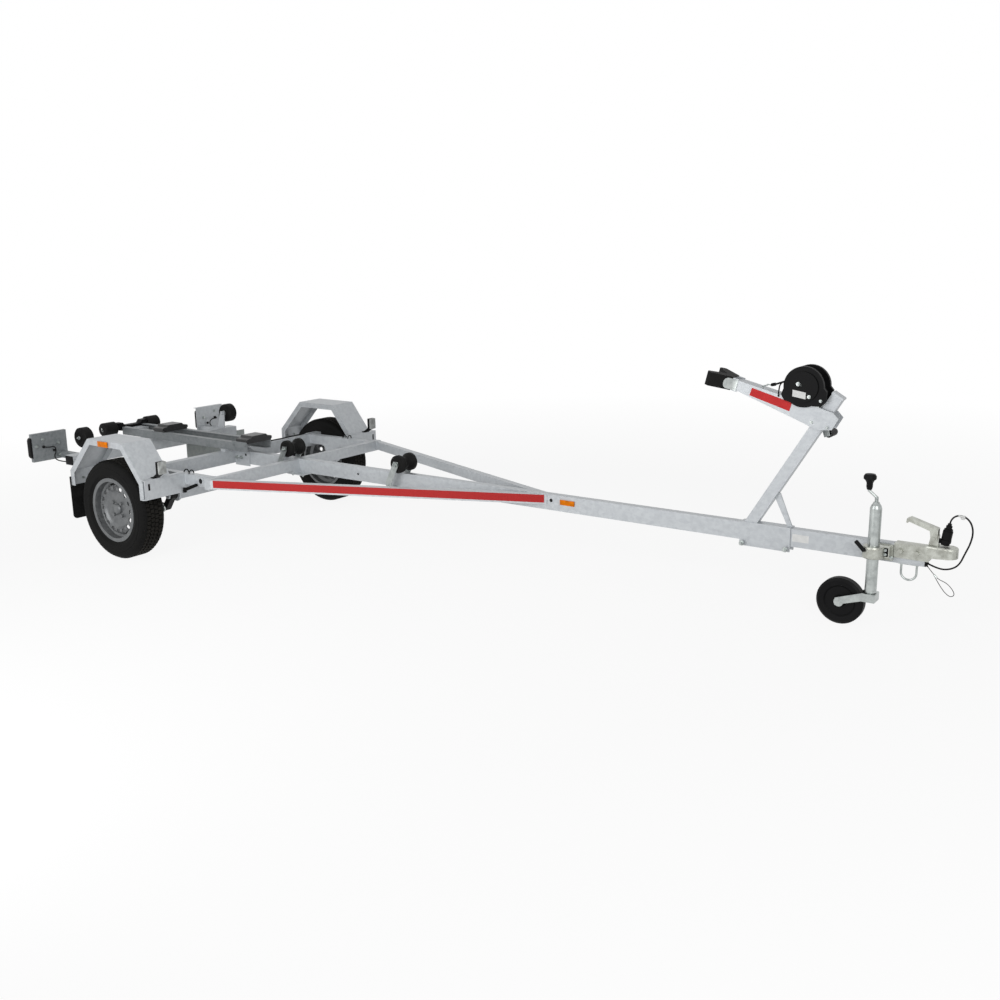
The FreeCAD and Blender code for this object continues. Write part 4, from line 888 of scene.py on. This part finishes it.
# pale paper-thin tag folded round the top of the loop
bm = bmesh.new()
lathe(bm, ((-13, 3.9), (-13, 4.6), (13, 4.6), (13, 3.9)), (4268, 0, 633), (31, 0, -2), 20)
slab(bm, [(4262, -0.5, 630), (4280, -0.5, 629), (4279, -0.5, 619), (4264, -0.5, 620)],
     (0, 1, 0), 0.2)
tag = finish_piece("cable_tag", bm, "frame", "plate_blank", vinyl_white)
# stranded steel wire: dark grey, with bright points where strands catch the light
strand = clouded_metal("dark_wire_strand", "4d4e4c", "333432", 0.45)
WIRE_ROUTE = ((4154, 0, 406.5), (4172, 0, 386), (4196, 0, 361), (4232, 0, 350),
              (4256, 0, 326), (4266, 0, 305), (4251, 0, 293), (4229, 0, 306),
              (4203, 0, 338), (4185.1, 0, 367.4))
safety_wire = cord_piece("safety_wire", WIRE_ROUTE, 0.003, strand)
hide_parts("breakaway_wire")
# a lead on the left side; the right one mirrors it
LEAD_ROUTE = ((-966, 679, 513), (-948, 676, 513), (-944, 654, 511), (-946, 630, 512),
              (-952, 613, 499), (-956, 612, 474), (-950, 628, 452), (-942, 628, 430),
              (-926, 606, 416), (-900, 586, 412), (-860, 572, 410), (-815, 566, 408),
              (-790, 566, 416))
for side, s in SIDES:
    route = [(x, s * y, z) for x, y, z in LEAD_ROUTE]
    lead = cord_piece(side + "_lamp_lead", route, 0.007, sheath)

# ---- Studio and camera ----
# A seamless pale floor under three soft lamps. Away from the trailer it goes over to the
# backdrop's white, so no horizon shows.
FLOOR_REACH = 60  # metres from the middle to each edge
floor_mesh = bpy.data.meshes.new("studio_floor")
floor_mesh.from_pydata([(x * FLOOR_REACH, y * FLOOR_REACH, 0)
                        for x, y in ((-1, -1), (1, -1), (1, 1), (-1, 1))], [], [(0, 1, 2, 3)])
floor = new_object("studio_floor", floor_mesh)
# matt white paper: takes the trailer's shadow, and glows as the backdrop does to the eye
paper = bpy.data.materials.new("studio_paper")
tree = empty_tree(paper)
spot = node(tree, "ShaderNodeTexCoord").outputs["Object"]
reach = node(tree, "ShaderNodeVectorMath", {0: spot}, operation="LENGTH")
# share of the glow: nine tenths within 2.5 m of the middle, all of it from 7 m on
fade = node(tree, "ShaderNodeMapRange", {"Value": reach.outputs["Value"]},
            {"From Min": 2.5, "From Max": 7.0, "To Min": 0.9, "To Max": 1.0})
diffuse = node(tree, "ShaderNodeBsdfDiffuse", values={"Color": (0.8, 0.8, 0.8, 1)})
glow = node(tree, "ShaderNodeEmission", values={"Color": (1, 1, 1, 1)})
path = node(tree, "ShaderNodeLightPath")
seen = node(tree, "ShaderNodeMath", {0: path.outputs["Is Camera Ray"],
                                     1: path.outputs["Is Glossy Ray"]}, operation="MAXIMUM")
share = node(tree, "ShaderNodeMath", {0: seen.outputs[0], 1: fade.outputs["Result"]},
             operation="MULTIPLY")
mixed = node(tree, "ShaderNodeMixShader",
             {0: share.outputs[0], 1: diffuse.outputs[0], 2: glow.outputs[0]})
node(tree, "ShaderNodeOutputMaterial", {"Surface": mixed.outputs[0]})
floor_mesh.materials.append(paper)

# dim light from all round, and full white to the camera and in reflections
world = bpy.data.worlds.new("studio")
bpy.context.scene.world = world
tree = empty_tree(world)
path = node(tree, "ShaderNodeLightPath")
mirrored = node(tree, "ShaderNodeMath", {0: path.outputs["Is Glossy Ray"],
                                         1: path.outputs["Is Transmission Ray"]},
                operation="MAXIMUM")
bright = node(tree, "ShaderNodeMath", {0: path.outputs["Is Camera Ray"],
                                       1: mirrored.outputs[0]}, operation="MAXIMUM")
ambient = node(tree, "ShaderNodeBackground", values={"Color": (1, 1, 1, 1), "Strength": 0.3})
backdrop = node(tree, "ShaderNodeBackground", values={"Color": (1, 1, 1, 1)})
both = node(tree, "ShaderNodeMixShader",
            {0: bright.outputs[0], 1: ambient.outputs[0], 2: backdrop.outputs[0]})
node(tree, "ShaderNodeOutputWorld", {"Surface": both.outputs[0]})

# name, place and aim in metres, width in metres, power in watts
LAMPS = (
    ("key_softbox", (4.6, -4.2, 2.0), (0.8, -0.2, 0.5), 2.6, 100.0),
    ("side_softbox", (-0.2, -3.6, 1.5), (-1.2, 0.0, 0.4), 2.4, 72.0),
    ("top_softbox", (0.5, -0.5, 4.5), (0.3, 0.0, 0.3), 4.0, 6.0),
)
for name, place, aim, width, power in LAMPS:
    light = bpy.data.lights.new(name, "AREA")
    light.size = width
    light.energy = power
    holder = new_object(name, light)
    holder.location = place
    holder.rotation_euler = (Vector(aim) - Vector(place)).to_track_quat("-Z", "Y").to_euler()

CAMERA_PLACE = (3.6010, -4.4293, 1.5425)
CAMERA_TURN, CAMERA_DOWN, CAMERA_LEAN = 0.6224, 0.2136, -0.0412  # radians
camera = bpy.data.cameras.new("camera")
camera.sensor_width = 36.0
camera.lens = 38.729
camera.shift_y = -0.0022
camera.clip_end = 200.0
ahead = Vector((-math.sin(CAMERA_TURN) * math.cos(CAMERA_DOWN),
                math.cos(CAMERA_TURN) * math.cos(CAMERA_DOWN), -math.sin(CAMERA_DOWN)))
across = Vector((math.cos(CAMERA_TURN), math.sin(CAMERA_TURN), 0))
above = across.cross(ahead)
across, above = (across * math.cos(CAMERA_LEAN) + above * math.sin(CAMERA_LEAN),
                 above * math.cos(CAMERA_LEAN) - across * math.sin(CAMERA_LEAN))
facing = Matrix((across, above, -ahead)).transposed().to_4x4()
holder = new_object("camera", camera)
holder.matrix_world = Matrix.Translation(CAMERA_PLACE) @ facing
bpy.context.scene.camera = holder
bpy.context.scene.view_settings.view_transform = "Standard"
